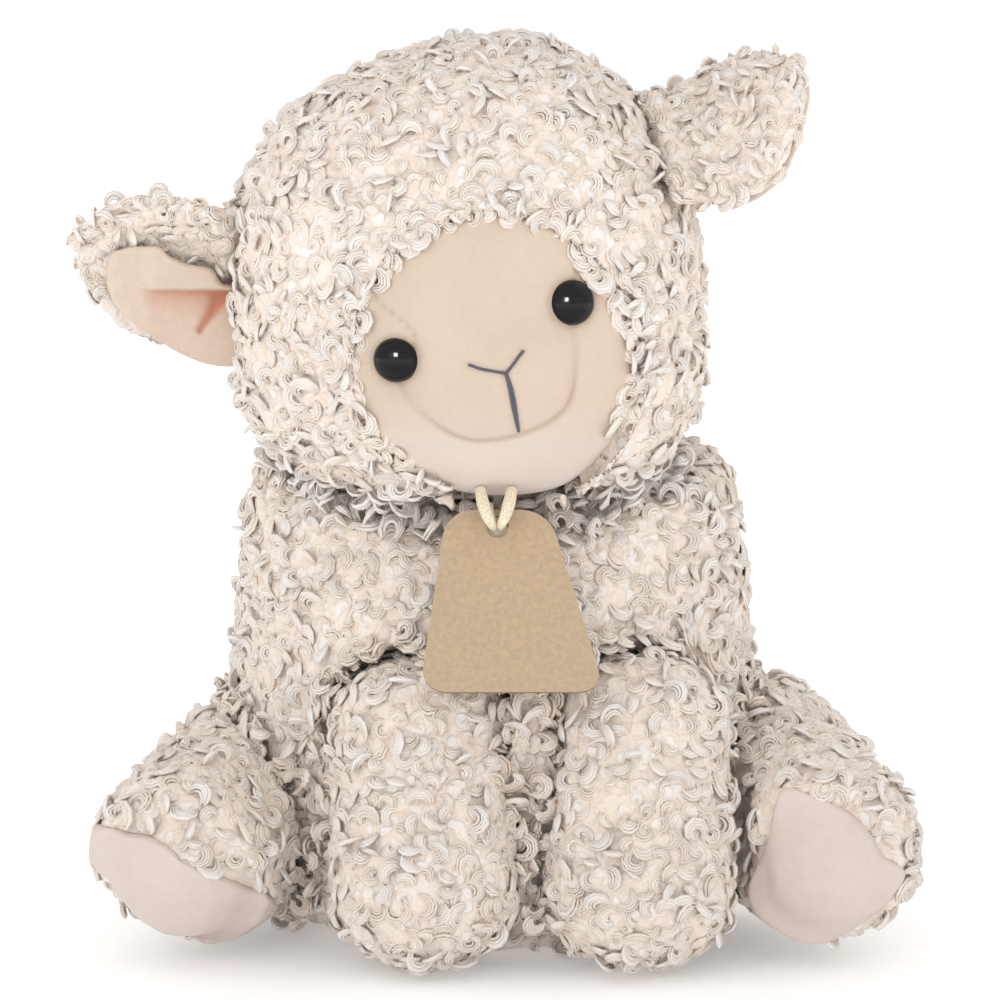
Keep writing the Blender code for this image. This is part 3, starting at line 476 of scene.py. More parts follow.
skins = {body: make_skin(body) for body in FORMS}
trees = {body: tree_of(skin.data) for body, skin in skins.items()}
print("forms", {body: len(skin.data.polygons) for body, skin in skins.items()})

# %% [markdown]
# ## The head's form
# The face is laid out on the head's own front, from its centre, with the head's roll taken out.

# %%
HEAD_CENTRE = Vector((-0.0096, -0.0120, 0.1888))
HEAD_HALF = Vector((0.0655, 0.0620, 0.0610))
HEAD_ROLL = math.radians(18.0)
HEAD_FULLNESS = 2.25
HEAD_JOWL_SHARE = 0.40
HEAD_TURN = Matrix.Translation(HEAD_CENTRE) @ Matrix.Rotation(-HEAD_ROLL, 4, "Y")
MUZZLE_SWELL = 0.0130
MUZZLE_DROP = math.radians(52.0)
MUZZLE_SPREAD = math.radians(42.0)
MUZZLE = np.array((0.0, -math.cos(MUZZLE_DROP), -math.sin(MUZZLE_DROP)))
VELOUR_INSET = 3.5 * MM
# How a place of the face is closed in on: the rounds, the share of each step and the least depth.
CLOSING_ROUNDS = 24
CLOSING_SHARE = 0.8
LEAST_DEPTH = 0.01
CURVE_STEPS = 12


def head_points(unit, inset):
    """Points of the head's form in its own frame, for directions from its centre."""
    angle = np.arccos(np.clip(unit @ MUZZLE, -1, 1))
    swell = MUZZLE_SWELL * np.exp(-((angle / MUZZLE_SPREAD) ** 2))
    full = (np.abs(unit) ** HEAD_FULLNESS).sum(-1, keepdims=True) ** (-1 / HEAD_FULLNESS)
    points = (np.array(HEAD_HALF) * full - inset[..., None] + swell[..., None]) * unit
    turn = np.array(HEAD_TURN)[:3, :3]
    level = points @ turn.T
    low = np.maximum(0.0, -level[..., 2] / HEAD_HALF.z)
    level[..., 0] *= 1 + HEAD_JOWL_SHARE * low ** 2
    return level @ turn


def face_points(x, z, inset):
    """Points of the head's front at x and z in its own frame, found by closing in on them."""
    x, z = np.broadcast_arrays(np.asarray(x, float), np.asarray(z, float))
    inset = np.broadcast_to(np.asarray(inset, float), x.shape)
    across = x / HEAD_HALF.x
    up = z / HEAD_HALF.z
    for _ in range(CLOSING_ROUNDS):
        depth = np.sqrt(np.maximum(LEAST_DEPTH, 1 - across ** 2 - up ** 2))
        unit = np.stack([across, -depth, up], -1)
        unit /= np.linalg.norm(unit, axis=-1, keepdims=True)
        point = head_points(unit, inset)
        across = across + CLOSING_SHARE * (x - point[..., 0]) / HEAD_HALF.x
        up = up + CLOSING_SHARE * (z - point[..., 2]) / HEAD_HALF.z
    return point


def to_world(points):
    turn = np.array(HEAD_TURN)
    return points @ turn[:3, :3].T + turn[:3, 3]


def smooth_line(points, count, closed=False):
    """Evenly spread points on a smooth curve through the given ones."""
    points = np.array(points, float)
    if closed:
        ends = np.vstack([points[-1:], points, points[:2]])
    else:
        ends = np.vstack([2 * points[0] - points[1], points, 2 * points[-1] - points[-2]])
    share = np.linspace(0, 1, CURVE_STEPS, endpoint=False)[:, None]
    pieces = []
    for a, b, c, d in zip(ends, ends[1:], ends[2:], ends[3:]):
        pieces.append(
            0.5 * (2 * b + (c - a) * share + (2 * a - 5 * b + 4 * c - d) * share ** 2
                   + (3 * b - a - 3 * c + d) * share ** 3)
        )
    line = np.vstack(pieces + [points[:1] if closed else points[-1:]])
    reach = np.concatenate([[0], np.cumsum(np.linalg.norm(np.diff(line, axis=0), axis=1))])
    stops = np.linspace(0, reach[-1], count, endpoint=not closed)
    return np.stack([np.interp(stops, reach, line[:, i]) for i in range(line.shape[1])], -1)


def pushed_out(outline, middle, reach):
    """An outline moved away from its middle."""
    away = outline - middle
    return outline + away / np.linalg.norm(away, axis=1, keepdims=True) * reach


def bell(distance, width):
    """1 on a line, and smoothly less away from it."""
    return np.exp(-((distance / width) ** 2))


def soft_step(value, low, high):
    share = np.clip((value - low) / (high - low), 0, 1)
    return share * share * (3 - 2 * share)


def at_edge(share, start, width):
    """0 up to a share of the way out, and 1 at the edge."""
    return np.clip((share - start) / width, 0, 1) ** 2


def distance_to(x, z, line):
    """How far points lie from a line of points, in the plane of the face."""
    place = np.stack([x, z], -1)[..., None, :]
    start, end = line[:-1], line[1:]
    along = end - start
    share = ((place - start) * along).sum(-1) / np.maximum((along ** 2).sum(-1), 1e-12)
    near = start + along * np.clip(share, 0, 1)[..., None]
    return np.linalg.norm(place - near, axis=-1).min(-1)


def round_sheet(outline, middle, rings):
    """A sheet of rings in an outline: its mesh, its points' places and shares of the way out."""
    sides = len(outline)
    bm = bmesh.new()
    bmesh.ops.create_grid(bm, x_segments=sides, y_segments=rings, size=0.5)
    flat = np.array([vert.co for vert in bm.verts])
    share = 1 - (flat[:, 1] + 0.5) * (1 - 1 / rings)
    index = np.rint((flat[:, 0] + 0.5) * sides).astype(int) % sides
    return bm, middle + (outline[index] - middle) * share[:, None], share


def finish_sheet(name, bm, points, share, look, wall):
    """Sets a sheet's points in place, joins its ends, fills its middle and gives it a wall."""
    centre = Vector(points[share == share.min()].mean(0))
    for vert, point in zip(bm.verts, points):
        vert.co = point
    bmesh.ops.remove_doubles(bm, verts=bm.verts, dist=0.001 * MM)
    rims = [edge for edge in bm.edges if edge.is_boundary]
    inner = [edge for edge in rims if (edge.verts[0].co - centre).length < 3 * MM]
    bmesh.ops.contextual_create(bm, geom=inner)
    bmesh.ops.recalc_face_normals(bm, faces=bm.faces)
    if sum((face.normal for face in bm.faces), Vector()).dot(Vector(VIEW_BACK)) < 0:
        bmesh.ops.reverse_faces(bm, faces=bm.faces)
    made = from_bmesh(name, bm, look)
    thickness = made.modifiers.new("wall", "SOLIDIFY")
    thickness.thickness = wall
    thickness.offset = -1.0
    return settle(made)


def put_on_points(bm, name, values):
    """Gives the mesh a number at each point, which a material reads."""
    layer = bm.verts.layers.float.new(name)
    for vert, value in zip(bm.verts, values):
        vert[layer] = float(value)


def in_outline(x, z, outline):
    """Which points lie inside a closed outline."""
    inside_now = np.zeros(len(x), bool)
    for (x0, z0), (x1, z1) in zip(outline, np.roll(outline, -1, axis=0)):
        if z0 == z1:
            continue
        crosses = (z0 > z) != (z1 > z)
        inside_now ^= crosses & (x < (x1 - x0) * (z - z0) / (z1 - z0) + x0)
    return inside_now


# %% [markdown]
# ## Face
# One sheet of piled cloth over the forehead, muzzle, cheeks and chin, with the seam pressed in
# round the smile and up to the brows, and the nose and mouth drawn in by their stitches.

# %%
FACE_OUTLINE = np.array([
    (10.1, 12.6), (-7.4, 11.5), (-18.6, 6.3), (-24.7, 2.2), (-29.1, -5.0), (-34.0, -12.3),
    (-36.9, -23.1), (-35.1, -32.4), (-29.2, -43.5), (-20.3, -53.8), (-9.7, -60.0), (3.5, -63.1),
    (13.2, -59.9), (23.3, -53.0), (31.8, -42.3), (35.9, -30.3), (34.3, -18.1), (30.6, -7.1),
    (28.2, 0.2), (21.0, 6.3),
]) * MM
SMILE = np.array([
    (-24.4, -21.0), (-22.7, -29.3), (-17.5, -37.5), (-12.7, -42.0), (-6.8, -44.2), (0.6, -45.1),
    (8.8, -44.5), (15.8, -41.0), (20.3, -33.0), (22.6, -25.0), (23.6, -19.0),
]) * MM
BROWS = (
    np.array([(-24.2, 2.9), (-22.8, -1.3), (-20.1, -5.4), (-17.1, -11.0), (-18.6, -14.5)]) * MM,
    np.array([(31.0, -5.0), (28.5, -9.0), (26.0, -12.5)]) * MM,
)
NOSE = np.array([(-5.9, -22.8), (-3.3, -24.8), (-1.0, -26.1), (2.7, -28.1)]) * MM
NOSE_OTHER = np.array([(8.9, -23.8), (6.6, -25.4), (4.5, -26.9), (2.7, -28.1)]) * MM
MOUTH = np.array([(2.7, -28.1), (2.6, -32.3), (1.9, -37.7), (1.0, -44.1)]) * MM
EYES = {"right": (-23.6 * MM, -16.2 * MM), "left": (24.6 * MM, -16.2 * MM)}
FACE_MIDDLE = np.array((0.6, -24.0)) * MM
FACE_RINGS = 90
FACE_SIDES = 240
FACE_TUCK = 3.0 * MM
FACE_WALL = 1.5 * MM
FACE_EDGE_BAND = (0.90, 0.10)
FACE_EDGE_SINK = 4.5 * MM
EYE_RADIUS = 6.0 * MM
EYE_DOME = 4.8 * MM
# Lines that press the cloth in, each with the depths and widths of its dents.
DENTS = (
    ((SMILE,), 60, ((0.8 * MM, 0.9 * MM), (1.1 * MM, 4.5 * MM))),
    (BROWS, 30, ((0.5 * MM, 0.8 * MM), (0.7 * MM, 4.0 * MM))),
    ((NOSE, NOSE_OTHER, MOUTH), 30, ((0.5 * MM, 1.3 * MM),)),
)
EYE_DENT = 1.6 * MM
EYE_DENT_WIDTH = 8.0 * MM
# Painted shade in the seams' creases, which also draws their line: faint high up and stronger low on the
# smile, dotted along the brows, and round the eyes.
SEAM_WIDTH = 0.55 * MM
SEAM_FAINT = 0.12
SEAM_STRONG = 0.7
SEAM_TOP = -30 * MM
SEAM_FADE = 9 * MM
BROW_WIDTH = 0.5 * MM
BROW_STRENGTH = 0.7
BROW_STITCH = 2.4 * MM
EYE_SHADE = 0.5
EYE_SHADE_WIDTH = 1.0 * MM
NORMAL_REACH = 1.5 * MM


def face_inset(x, z, share):
    """How deep the cloth lies under the pile's tips at points of the face."""
    inset = np.full(x.shape, VELOUR_INSET)
    for lines, count, dents in DENTS:
        for line in lines:
            near = distance_to(x, z, smooth_line(line, count))
            inset += sum(depth * bell(near, width) for depth, width in dents)
    for eye in EYES.values():
        near = np.hypot(x - eye[0], z - eye[1])
        inset += EYE_DENT * bell(near, EYE_DENT_WIDTH)
    return inset + FACE_EDGE_SINK * at_edge(share, *FACE_EDGE_BAND)


def face_seam_shade(x, z):
    """How strongly painted shade shows at points of the face: in the seams' creases, also drawing their
    line, stronger low on the smile, dotted on the brows, and round the eyes.
    """
    low = SEAM_FAINT + SEAM_STRONG * np.clip((SEAM_TOP - z) / SEAM_FADE, 0, 1)
    strength = bell(distance_to(x, z, smooth_line(SMILE, 60)), SEAM_WIDTH) * low
    for brow in BROWS:
        near = distance_to(x, z, smooth_line(brow, 30))
        dotted = 0.5 + 0.5 * np.sin(z * 2 * math.pi / BROW_STITCH)
        strength = np.maximum(strength, bell(near, BROW_WIDTH) * BROW_STRENGTH * dotted)
    for eye in EYES.values():
        near = np.hypot(x - eye[0], z - eye[1]) - EYE_RADIUS
        strength = np.maximum(strength, bell(near, EYE_SHADE_WIDTH) * EYE_SHADE)
    return strength


def face_spot(x, z):
    """A point on the face's cloth and the way out of it, for stitches and eyes."""
    def at(u, v):
        u = np.array([u])
        v = np.array([v])
        return face_points(u, v, face_inset(u, v, np.zeros(1)))[0]

    across = at(x + NORMAL_REACH, z) - at(x - NORMAL_REACH, z)
    along = at(x, z + NORMAL_REACH) - at(x, z - NORMAL_REACH)
    out = np.cross(across, along)
    return at(x, z), out / np.linalg.norm(out)


def make_face():
    outline = smooth_line(FACE_OUTLINE, FACE_SIDES, closed=True)
    outline = pushed_out(outline, FACE_MIDDLE, FACE_TUCK)
    bm, spot, share = round_sheet(outline, FACE_MIDDLE, FACE_RINGS)
    x, z = spot.T
    put_on_points(bm, "seam", face_seam_shade(x, z))
    points = to_world(face_points(x, z, face_inset(x, z, share)))
    made = finish_sheet("face", bm, points, share, "velour", FACE_WALL)
    return dress(made, "head", "velour", "face_panel", "cheek_panel")


face = make_face()
print("face", len(face.data.polygons), "faces")

# %% [markdown]
# ## Eyes and stitches

# %%
THREAD_RADIUS = 0.38 * MM
THREAD_LIFT = 0.25 * MM
# How far the mouth's two threads lie to each side of its line.
MOUTH_APART = np.array([(0.0, 0.0), (0.30, 0.0), (0.34, 0.0), (0.0, 0.0)]) * MM
EYE_BACK = 1.5 * MM
EYE_LIFT = 0.3 * MM


def make_eye(label):
    spot, out = face_spot(*EYES[label])
    bm = bmesh.new()
    bmesh.ops.create_uvsphere(bm, u_segments=48, v_segments=24, radius=1.0)
    for vert in bm.verts:
        height = vert.co.z * (EYE_DOME if vert.co.z > 0 else EYE_BACK)
        vert.co = Vector((vert.co.x * EYE_RADIUS, vert.co.y * EYE_RADIUS, height + EYE_LIFT))
    turn = Matrix.Translation(Vector(spot)) @ Vector(out).to_track_quat("Z", "Y").to_matrix().to_4x4()
    bmesh.ops.transform(bm, verts=bm.verts, matrix=HEAD_TURN @ turn)
    made = from_bmesh("eye_dome_" + label, bm, "eye")
    dress(made, "head", "eye_plastic", "eye_" + label)


def tube(name, lines, look, radii, sides=8):
    """Round cords along lines of points, each with its own radius at every point."""
    data = bpy.data.curves.new(name, "CURVE")
    data.dimensions = "3D"
    data.bevel_depth = 1.0
    data.bevel_resolution = max(0, sides // 2 - 2)
    data.use_fill_caps = True
    for line, radius in zip(lines, radii):
        spline = data.splines.new("POLY")
        spline.points.add(len(line) - 1)
        spline.points.foreach_set("co", np.column_stack([line, np.ones(len(line))]).ravel())
        spline.points.foreach_set("radius", np.broadcast_to(radius, len(line)).astype(float))
        spline.use_smooth = True
    made = new_object(name, data)
    graph = bpy.context.evaluated_depsgraph_get()
    mesh = bpy.data.meshes.new_from_object(made.evaluated_get(graph))
    bpy.data.objects.remove(made)
    return new_object(name, mesh, look)


def laid(line):
    """A line of x and z laid on the face's cloth."""
    points = []
    for x, z in smooth_line(line, 24):
        spot, out = face_spot(x, z)
        points.append(spot + out * THREAD_LIFT)
    return to_world(np.array(points))


def make_stitch(name, node_name, lines):
    made = tube(name, [laid(line) for line in lines], "thread", [THREAD_RADIUS] * len(lines))
    dress(made, "head", "thread", node_name)


for label in EYES:
    make_eye(label)
make_stitch("nose_thread", "nose_stitch", (NOSE, NOSE_OTHER))
make_stitch("mouth_thread", "mouth_stitch", (MOUTH + MOUTH_APART, MOUTH - MOUTH_APART))
for label in EYES:
    look_as(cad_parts["eye_washer_" + label], "washer")
print("eyes and stitches made")

# %% [markdown]
# ## Linings and soles

# %%
EAR_OUTLINE = np.array([
    (-108.8, 68.8), (-105.7, 70.2), (-102.7, 70.9), (-98.7, 71.0), (-95.1, 70.8), (-92.7, 68.5),
    (-88.1, 66.3), (-80.6, 64.6), (-77.8, 60.7), (-71.9, 58.5), (-69.9, 55.9), (-71.0, 47.6),
    (-72.7, 41.4), (-73.8, 37.5), (-82.0, 38.0), (-90.4, 41.4), (-96.8, 45.5), (-103.5, 50.1),
    (-108.5, 55.9), (-110.2, 62.4),
]) * MM
EAR_MIDDLE = np.array((-90.0, 55.0)) * MM
EAR_FOLD_UP = 58.7 * MM
EAR_FOLD_START = -99.3 * MM
EAR_CREASE = np.array([(-77.2, 58.5), (-80.0, 53.5), (-83.9, 47.6)]) * MM
LIP_RISE = 3.4 * MM
LIP_FADE = 6 * MM
FOLD_SINK = 0.8 * MM
FOLD_FADE = 8 * MM
CREASE_SINK = 1.2 * MM
CREASE_RUN = 12 * MM
SHADE_NEAR = 3.2 * MM
SHADE_FAR = 9.0 * MM
LINING_LIFT = 1.2 * MM
LINING_WALL = 1.2 * MM
LINING_EDGE_BAND = (0.88, 0.12)
LINING_EDGE_RISE = (50 * MM, 60 * MM)
LINING_EDGE_SINK = 1.6 * MM
# The ear's form is pushed back to lie this far behind its lining, by no more than the second.
FORM_BEHIND = 2.4 * MM
FORM_PUSH = 3.5 * MM
BARE_SHARE = 1.4
BARE_BACK = -0.8
SOLE_OUTLINES = {
    "right": np.array([
        (-115.4, -89.5), (-111.1, -90.0), (-102.4, -91.4), (-96.1, -92.4), (-89.4, -96.2),
        (-83.1, -101.0), (-77.8, -103.0), (-71.0, -106.8), (-63.8, -110.7), (-60.4, -116.9),
        (-61.4, -121.8), (-66.2, -125.1), (-77.3, -126.8), (-87.4, -125.4), (-96.1, -121.3),
        (-102.9, -115.5), (-108.1, -109.7), (-112.9, -103.0), (-115.6, -96.7),
    ]) * MM,
    "left": np.array([
        (79.2, -80.8), (85.0, -82.2), (91.3, -84.7), (98.5, -88.0), (103.8, -92.4), (107.2, -98.2),
        (113.5, -103.4), (108.1, -112.1), (100.9, -117.9), (91.3, -123.2), (81.7, -125.6),
        (76.4, -125.1), (72.0, -119.3), (69.6, -112.1), (69.1, -107.3), (71.0, -103.0),
        (73.5, -98.2), (75.9, -92.4), (77.3, -85.6),
    ]) * MM,
}
SOLE_MIDDLES = {"right": np.array((-88.0, -108.5)) * MM, "left": np.array((89.0, -105.0)) * MM}
FOOT_CENTRES = {"right": (-0.0850, -0.0500, 0.0305), "left": (0.0888, -0.0500, 0.0325)}
FOOT_RADIUS = 27.0 * MM
FOOT_WRAP = math.radians(112.0)
SOLE_EDGE_BAND = (0.86, 0.14)
SOLE_LIFT = 2.4 * MM
SOLE_EDGE_SINK = 2.2 * MM
SOLE_FLOOR = 0.6 * MM
SOLE_WALL = 1.4 * MM
SOLE_ROUNDS = 8
SOLE_SHARE = 0.7


def make_flat_lining():
    """The lining of the ear that is turned away."""
    made = soften(copy_of("ear_velour_left", "ear_lining_left"), 0.7 * MM, 6)
    return look_as(made, "lining")


def make_folded_lining():
    """The lining of the ear that opens to the front: a rolled lip over a fold, and a crease."""
    outline = smooth_line(EAR_OUTLINE, 130, closed=True)
    bm, spot, share = round_sheet(outline, EAR_MIDDLE, 44)
    u, v = spot.T
    window = soft_step(u, EAR_FOLD_START - 2 * MM, EAR_FOLD_START + 4 * MM)
    above = v - EAR_FOLD_UP
    upper = soft_step(above, -0.6 * MM, 0.6 * MM)
    below = np.minimum(above, 0)
    lip = LIP_RISE * upper * np.exp(-np.maximum(above, 0) / LIP_FADE)
    under = FOLD_SINK * (1 - upper) * np.exp(below / FOLD_FADE)
    wide = (0.9 + 1.6 * soft_step(v, EAR_FOLD_UP - CREASE_RUN, EAR_FOLD_UP)) * MM
    crease = bell(distance_to(u, v, smooth_line(EAR_CREASE, 30)), wide) * (1 - upper)
    edge = LINING_EDGE_SINK * at_edge(share, *LINING_EDGE_BAND) * soft_step(v, *LINING_EDGE_RISE)
    rise = LINING_LIFT + (lip - under) * window - CREASE_SINK * crease - edge
    # Painted shade under the lip, fading downward and stronger towards the right, and in the crease; the
    # mesh carries it to the material.
    rightward = soft_step(u, -100 * MM, -78 * MM)
    near = np.exp(below / SHADE_NEAR) * (0.42 + 0.4 * rightward)
    far = np.exp(below / SHADE_FAR) * 0.22
    deep = (1 - upper) * window * (near + far)
    put_on_points(bm, "fold", np.clip(deep + 0.75 * crease, 0, 0.95))
    lining = tree_of(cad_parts["ear_lining_right"].data)
    seen = []
    for place in spot:
        start, way = sight(place)
        reach = lining.ray_cast(start, way)[3]
        if reach is not None:
            seen.append((*place, reach))
    seen = np.array(seen)
    bend = np.linalg.lstsq(bend_terms(seen[:, :2]), seen[:, 2], rcond=None)[0]
    reaches = bend_terms(spot) @ bend
    points = []
    for place, reach, lift in zip(spot, reaches, rise):
        start, way = sight(place)
        points.append(start + way * float(reach - lift))
    made = finish_sheet("ear_velour_right", bm, np.array(points), share, "lining", LINING_WALL)
    sheet = tree_of(made.data)
    start = Vector(CAMERA_PLACE)
    for vert in skins["ear_right"].data.vertices:
        way = (vert.co - start).normalized()
        reach = sheet.ray_cast(start, way)[3]
        own = (vert.co - start).length
        if reach is not None and own < reach + FORM_BEHIND:
            vert.co += way * min(reach + FORM_BEHIND - own, FORM_PUSH)
    return made


def bend_terms(places):
    """The terms of a gently bent surface over the view."""
    u, v = (places / 0.1).T
    return np.column_stack([np.ones(len(u)), u, v, u * u, u * v, v * v])


def make_sole(side):
    """The sole wraps the foot from its seam with the fleece to under the heel."""
    outline = smooth_line(SOLE_OUTLINES[side], 120, closed=True)
    bm, spot, share = round_sheet(outline, SOLE_MIDDLES[side], 36)
    centre = np.array(FOOT_CENTRES[side])
    middle = in_view(centre)
    tree = trees["hind_leg_" + side]
    points = []
    for place, sink in zip(spot, at_edge(share, *SOLE_EDGE_BAND)):
        reach = float(np.linalg.norm(place - middle))
        across, up = (place - middle) / max(reach, 1e-9)
        side_way = VIEW_RIGHT * across + VIEW_UP * up
        angle = reach / FOOT_RADIUS
        for _ in range(SOLE_ROUNDS):
            way = VIEW_BACK * math.cos(angle) + side_way * math.sin(angle)
            hit = tree.ray_cast(Vector(centre), Vector(way))[0]
            seen = float(np.linalg.norm(in_view(np.array(hit)) - middle))
            angle = min(max(angle + SOLE_SHARE * (reach - seen) / FOOT_RADIUS, 0.0), FOOT_WRAP)
        point = hit + Vector(way) * (SOLE_LIFT - SOLE_EDGE_SINK * float(sink))
        point.z = max(point.z, SOLE_FLOOR)
        points.append(point)
    return finish_sheet("sole_" + side, bm, np.array(points), share, "sole", SOLE_WALL)


def ear_edge_keep(spots, outs):
    """Leaves the lower edge of the folded ear bare, where the lining comes to the rim."""
    places = in_view(spots)
    wider = EAR_MIDDLE + (EAR_OUTLINE - EAR_MIDDLE) * BARE_SHARE
    low = in_outline(places[:, 0], places[:, 1], wider) & (places[:, 1] < EAR_FOLD_UP - 3 * MM)
    return ~(low & (outs @ VIEW_BACK > BARE_BACK))


cloths = {
    "ear_left": dress(make_flat_lining(), "ear_left", "velour", "ear_lining_left"),
    "ear_right": dress(make_folded_lining(), "ear_right", "velour", "ear_lining_right"),
}
for side in ("left", "right"):
    leg = "hind_leg_" + side
    cloths[leg] = dress(make_sole(side), leg, "velour", "hind_foot_sole_" + side)
cloths["head"] = face
for name, cloth in cloths.items():
    trees["cloth_" + name] = tree_of(cloth.data)
print("cloths", {name: len(cloth.data.polygons) for name, cloth in cloths.items()})

# %% [markdown]
# ## Tag and cords

# %%
STRAND_LINES = (
    np.array([(-5.4, 1.8), (-4.9, -0.8), (-3.6, -4.4), (-2.0, -7.6)]) * MM,
    np.array([(3.2, 1.8), (2.7, -0.8), (1.5, -4.4), (0.2, -7.4)]) * MM,
)
STRAND_POINTS = 14
CORD_FRONT = -0.0640
CORD_BACK = 7.0 * MM
CORD_WIDTHS = np.array([1.5, 1.75, 1.55, 1.15]) * MM
# How far the strands' last points bend back into the tag's hole.
CORD_ENDS = np.array([0.2, 1.0, 2.4]) * MM
TAG_EDGE_TURN = 0.7


def make_tag():
    made = look_as(copy_of("tag", "tag_card"), "kraft")
    made.data.materials.append(MATERIALS["kraft_edge"])
    out = max(made.data.polygons, key=lambda face: face.area).normal.copy()
    for face in made.data.polygons:
        face.use_smooth = False
        face.material_index = int(abs(face.normal.dot(out)) < TAG_EDGE_TURN)
    dress(made, "tag", "kraft_card", "tag_card")


def make_tag_cord():
    """The two soft strands that come down from under the chin and into the tag's hole."""
    packed = copy_of("tag_cord_core", "tag_cord")
    lines = []
    for line in STRAND_LINES:
        points = []
        for place in smooth_line(line, STRAND_POINTS):
            start, way = sight(place)
            points.append(start + way * ((CORD_FRONT - start.y) / way.y))
        points = np.array(points)
        points[:, 1] += np.linspace(1.0, 0.0, len(points)) ** 2 * CORD_BACK
        points[-3:, 1] += CORD_ENDS
        lines.append(points)
    widths = np.interp(np.linspace(0, 1, STRAND_POINTS), np.linspace(0, 1, 4), CORD_WIDTHS)
    strands = tube("tag_cord_strands", lines, "cotton", [widths, widths], sides=12)
    merged = bmesh.new()
    merged.from_mesh(packed.data)
    merged.from_mesh(strands.data)
    bpy.data.objects.remove(packed)
    bpy.data.objects.remove(strands)
    return from_bmesh("tag_cord_cotton", merged, "cotton")


make_tag()
neck_cord = look_as(copy_of("neck_cord_cotton", "neck_cord"), "cotton")
dress(neck_cord, "body", "cotton_cord", "neck_cord")
dress(make_tag_cord(), "body", "cotton_cord", "tag_cord")
core = look_as(copy_of("neck_core", "neck_stuffing"), "cotton")
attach(core, "neck_core")
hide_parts("neck_stuffing")
print("tag, cords and the neck's core made")

# %% [markdown]
# ## How a lock curls
# Locks of wool stand in tufts on each form. A lock is a band of strands that curls in a loop.

# %%
# Places that are tried for each one that is kept, more or less.
TRIES = 6
TUFT_SPACING = 10.0 * MM
PILE = 2.9 * MM
# A loop's radius, how far round it goes, and how much it closes in on itself.
LOOP = (1.7 * MM, 3.6 * MM)
TURN = (math.radians(150.0), math.radians(330.0))
SPIRAL = 0.35
LEAN = math.radians(14.0)
LEAN_SPREAD = math.radians(24.0)
# How far a lock heads away from its tuft's middle, and how far to a side of its own.
FROM_TUFT = 0.8
STRAY = 0.9
# The pile's height in a tuft's middle, its fall towards the rim, its limits and its spread.
TUFT_HEIGHT = 1.06
TUFT_FALL = 0.42
HEIGHT_LIMITS = (0.55, 1.1)
HEIGHT_SPREAD = (0.80, 1.06)
# A band's half width, the share of it at its ends, its arch and how deep its ends are rooted.
BAND = 1.20 * MM
BAND_END = 0.25
ARCH = 0.45 * MM
ARCH_SPREAD = (-0.12, 0.12)
ROOT = 1.4 * MM
# Above this share of the pile a strand is pressed down by the second share of what stands over.
PILE_TOP = 1.18
PRESSED = 0.8
STRANDS = 4
STEPS = 8
PHASE = 0.2
STRAND_RADIUS = 0.66 * MM
STRAND_SPREAD = (0.85, 1.15)
STRAND_TIP = 0.3
# How a strand's shade follows its height, from the first number upward, and its own spread: lower
# strands are darker and tanner, partly the roots' own tan and partly painted shade.
TONE_DEPTH = 1.0 * MM
TONE_LOW = 0.08
TONE_RISE = 0.66
TONE_SPREAD = (-0.04, 0.14)
TONE_LIMITS = (0.02, 0.93)


def unit_rows(rows):
    return rows / np.maximum(np.linalg.norm(rows, axis=-1, keepdims=True), 1e-12)


def read(items, name, width=1, kind=float):
    """One value of every item of a mesh, as an array."""
    values = np.empty(len(items) * width, kind)
    items.foreach_get(name, values)
    return values.reshape(-1, width) if width > 1 else values


def point_tree(spots):
    tree = KDTree(len(spots))
    for index, spot in enumerate(spots):
        tree.insert(spot, index)
    tree.balance()
    return tree


def scatter(skin, spacing, rng):
    """Points and ways out spread over a form, none nearer to another than the spacing."""
    mesh = skin.data
    mesh.calc_loop_triangles()
    corners = read(mesh.loop_triangles, "vertices", 3, np.int32)
    place = read(mesh.vertices, "co", 3)
    normal = read(mesh.vertex_normals, "vector", 3, np.float32)
    a, b, c = (place[corners[:, i]] for i in range(3))
    area = np.linalg.norm(np.cross(b - a, c - a), axis=1) / 2
    tries = int(area.sum() / spacing ** 2 * TRIES)
    pick = rng.choice(len(area), tries, p=area / area.sum())
    share = rng.random((tries, 2))
    over = share.sum(1) > 1
    share[over] = 1 - share[over]
    weight = np.column_stack([1 - share.sum(1), share])[..., None]
    spots = (place[corners[pick]] * weight).sum(1)
    outs = unit_rows((normal[corners[pick]] * weight).sum(1))
    tree = point_tree(spots)
    free = np.ones(tries, bool)
    kept = []
    for index in range(tries):
        if free[index]:
            kept.append(index)
            for _, other, _ in tree.find_range(spots[index], spacing):
                free[other] = False
    return spots[kept], outs[kept]


def nearest(spots, others):
    tree = point_tree(others)
    return np.array([tree.find(spot)[1] for spot in spots])


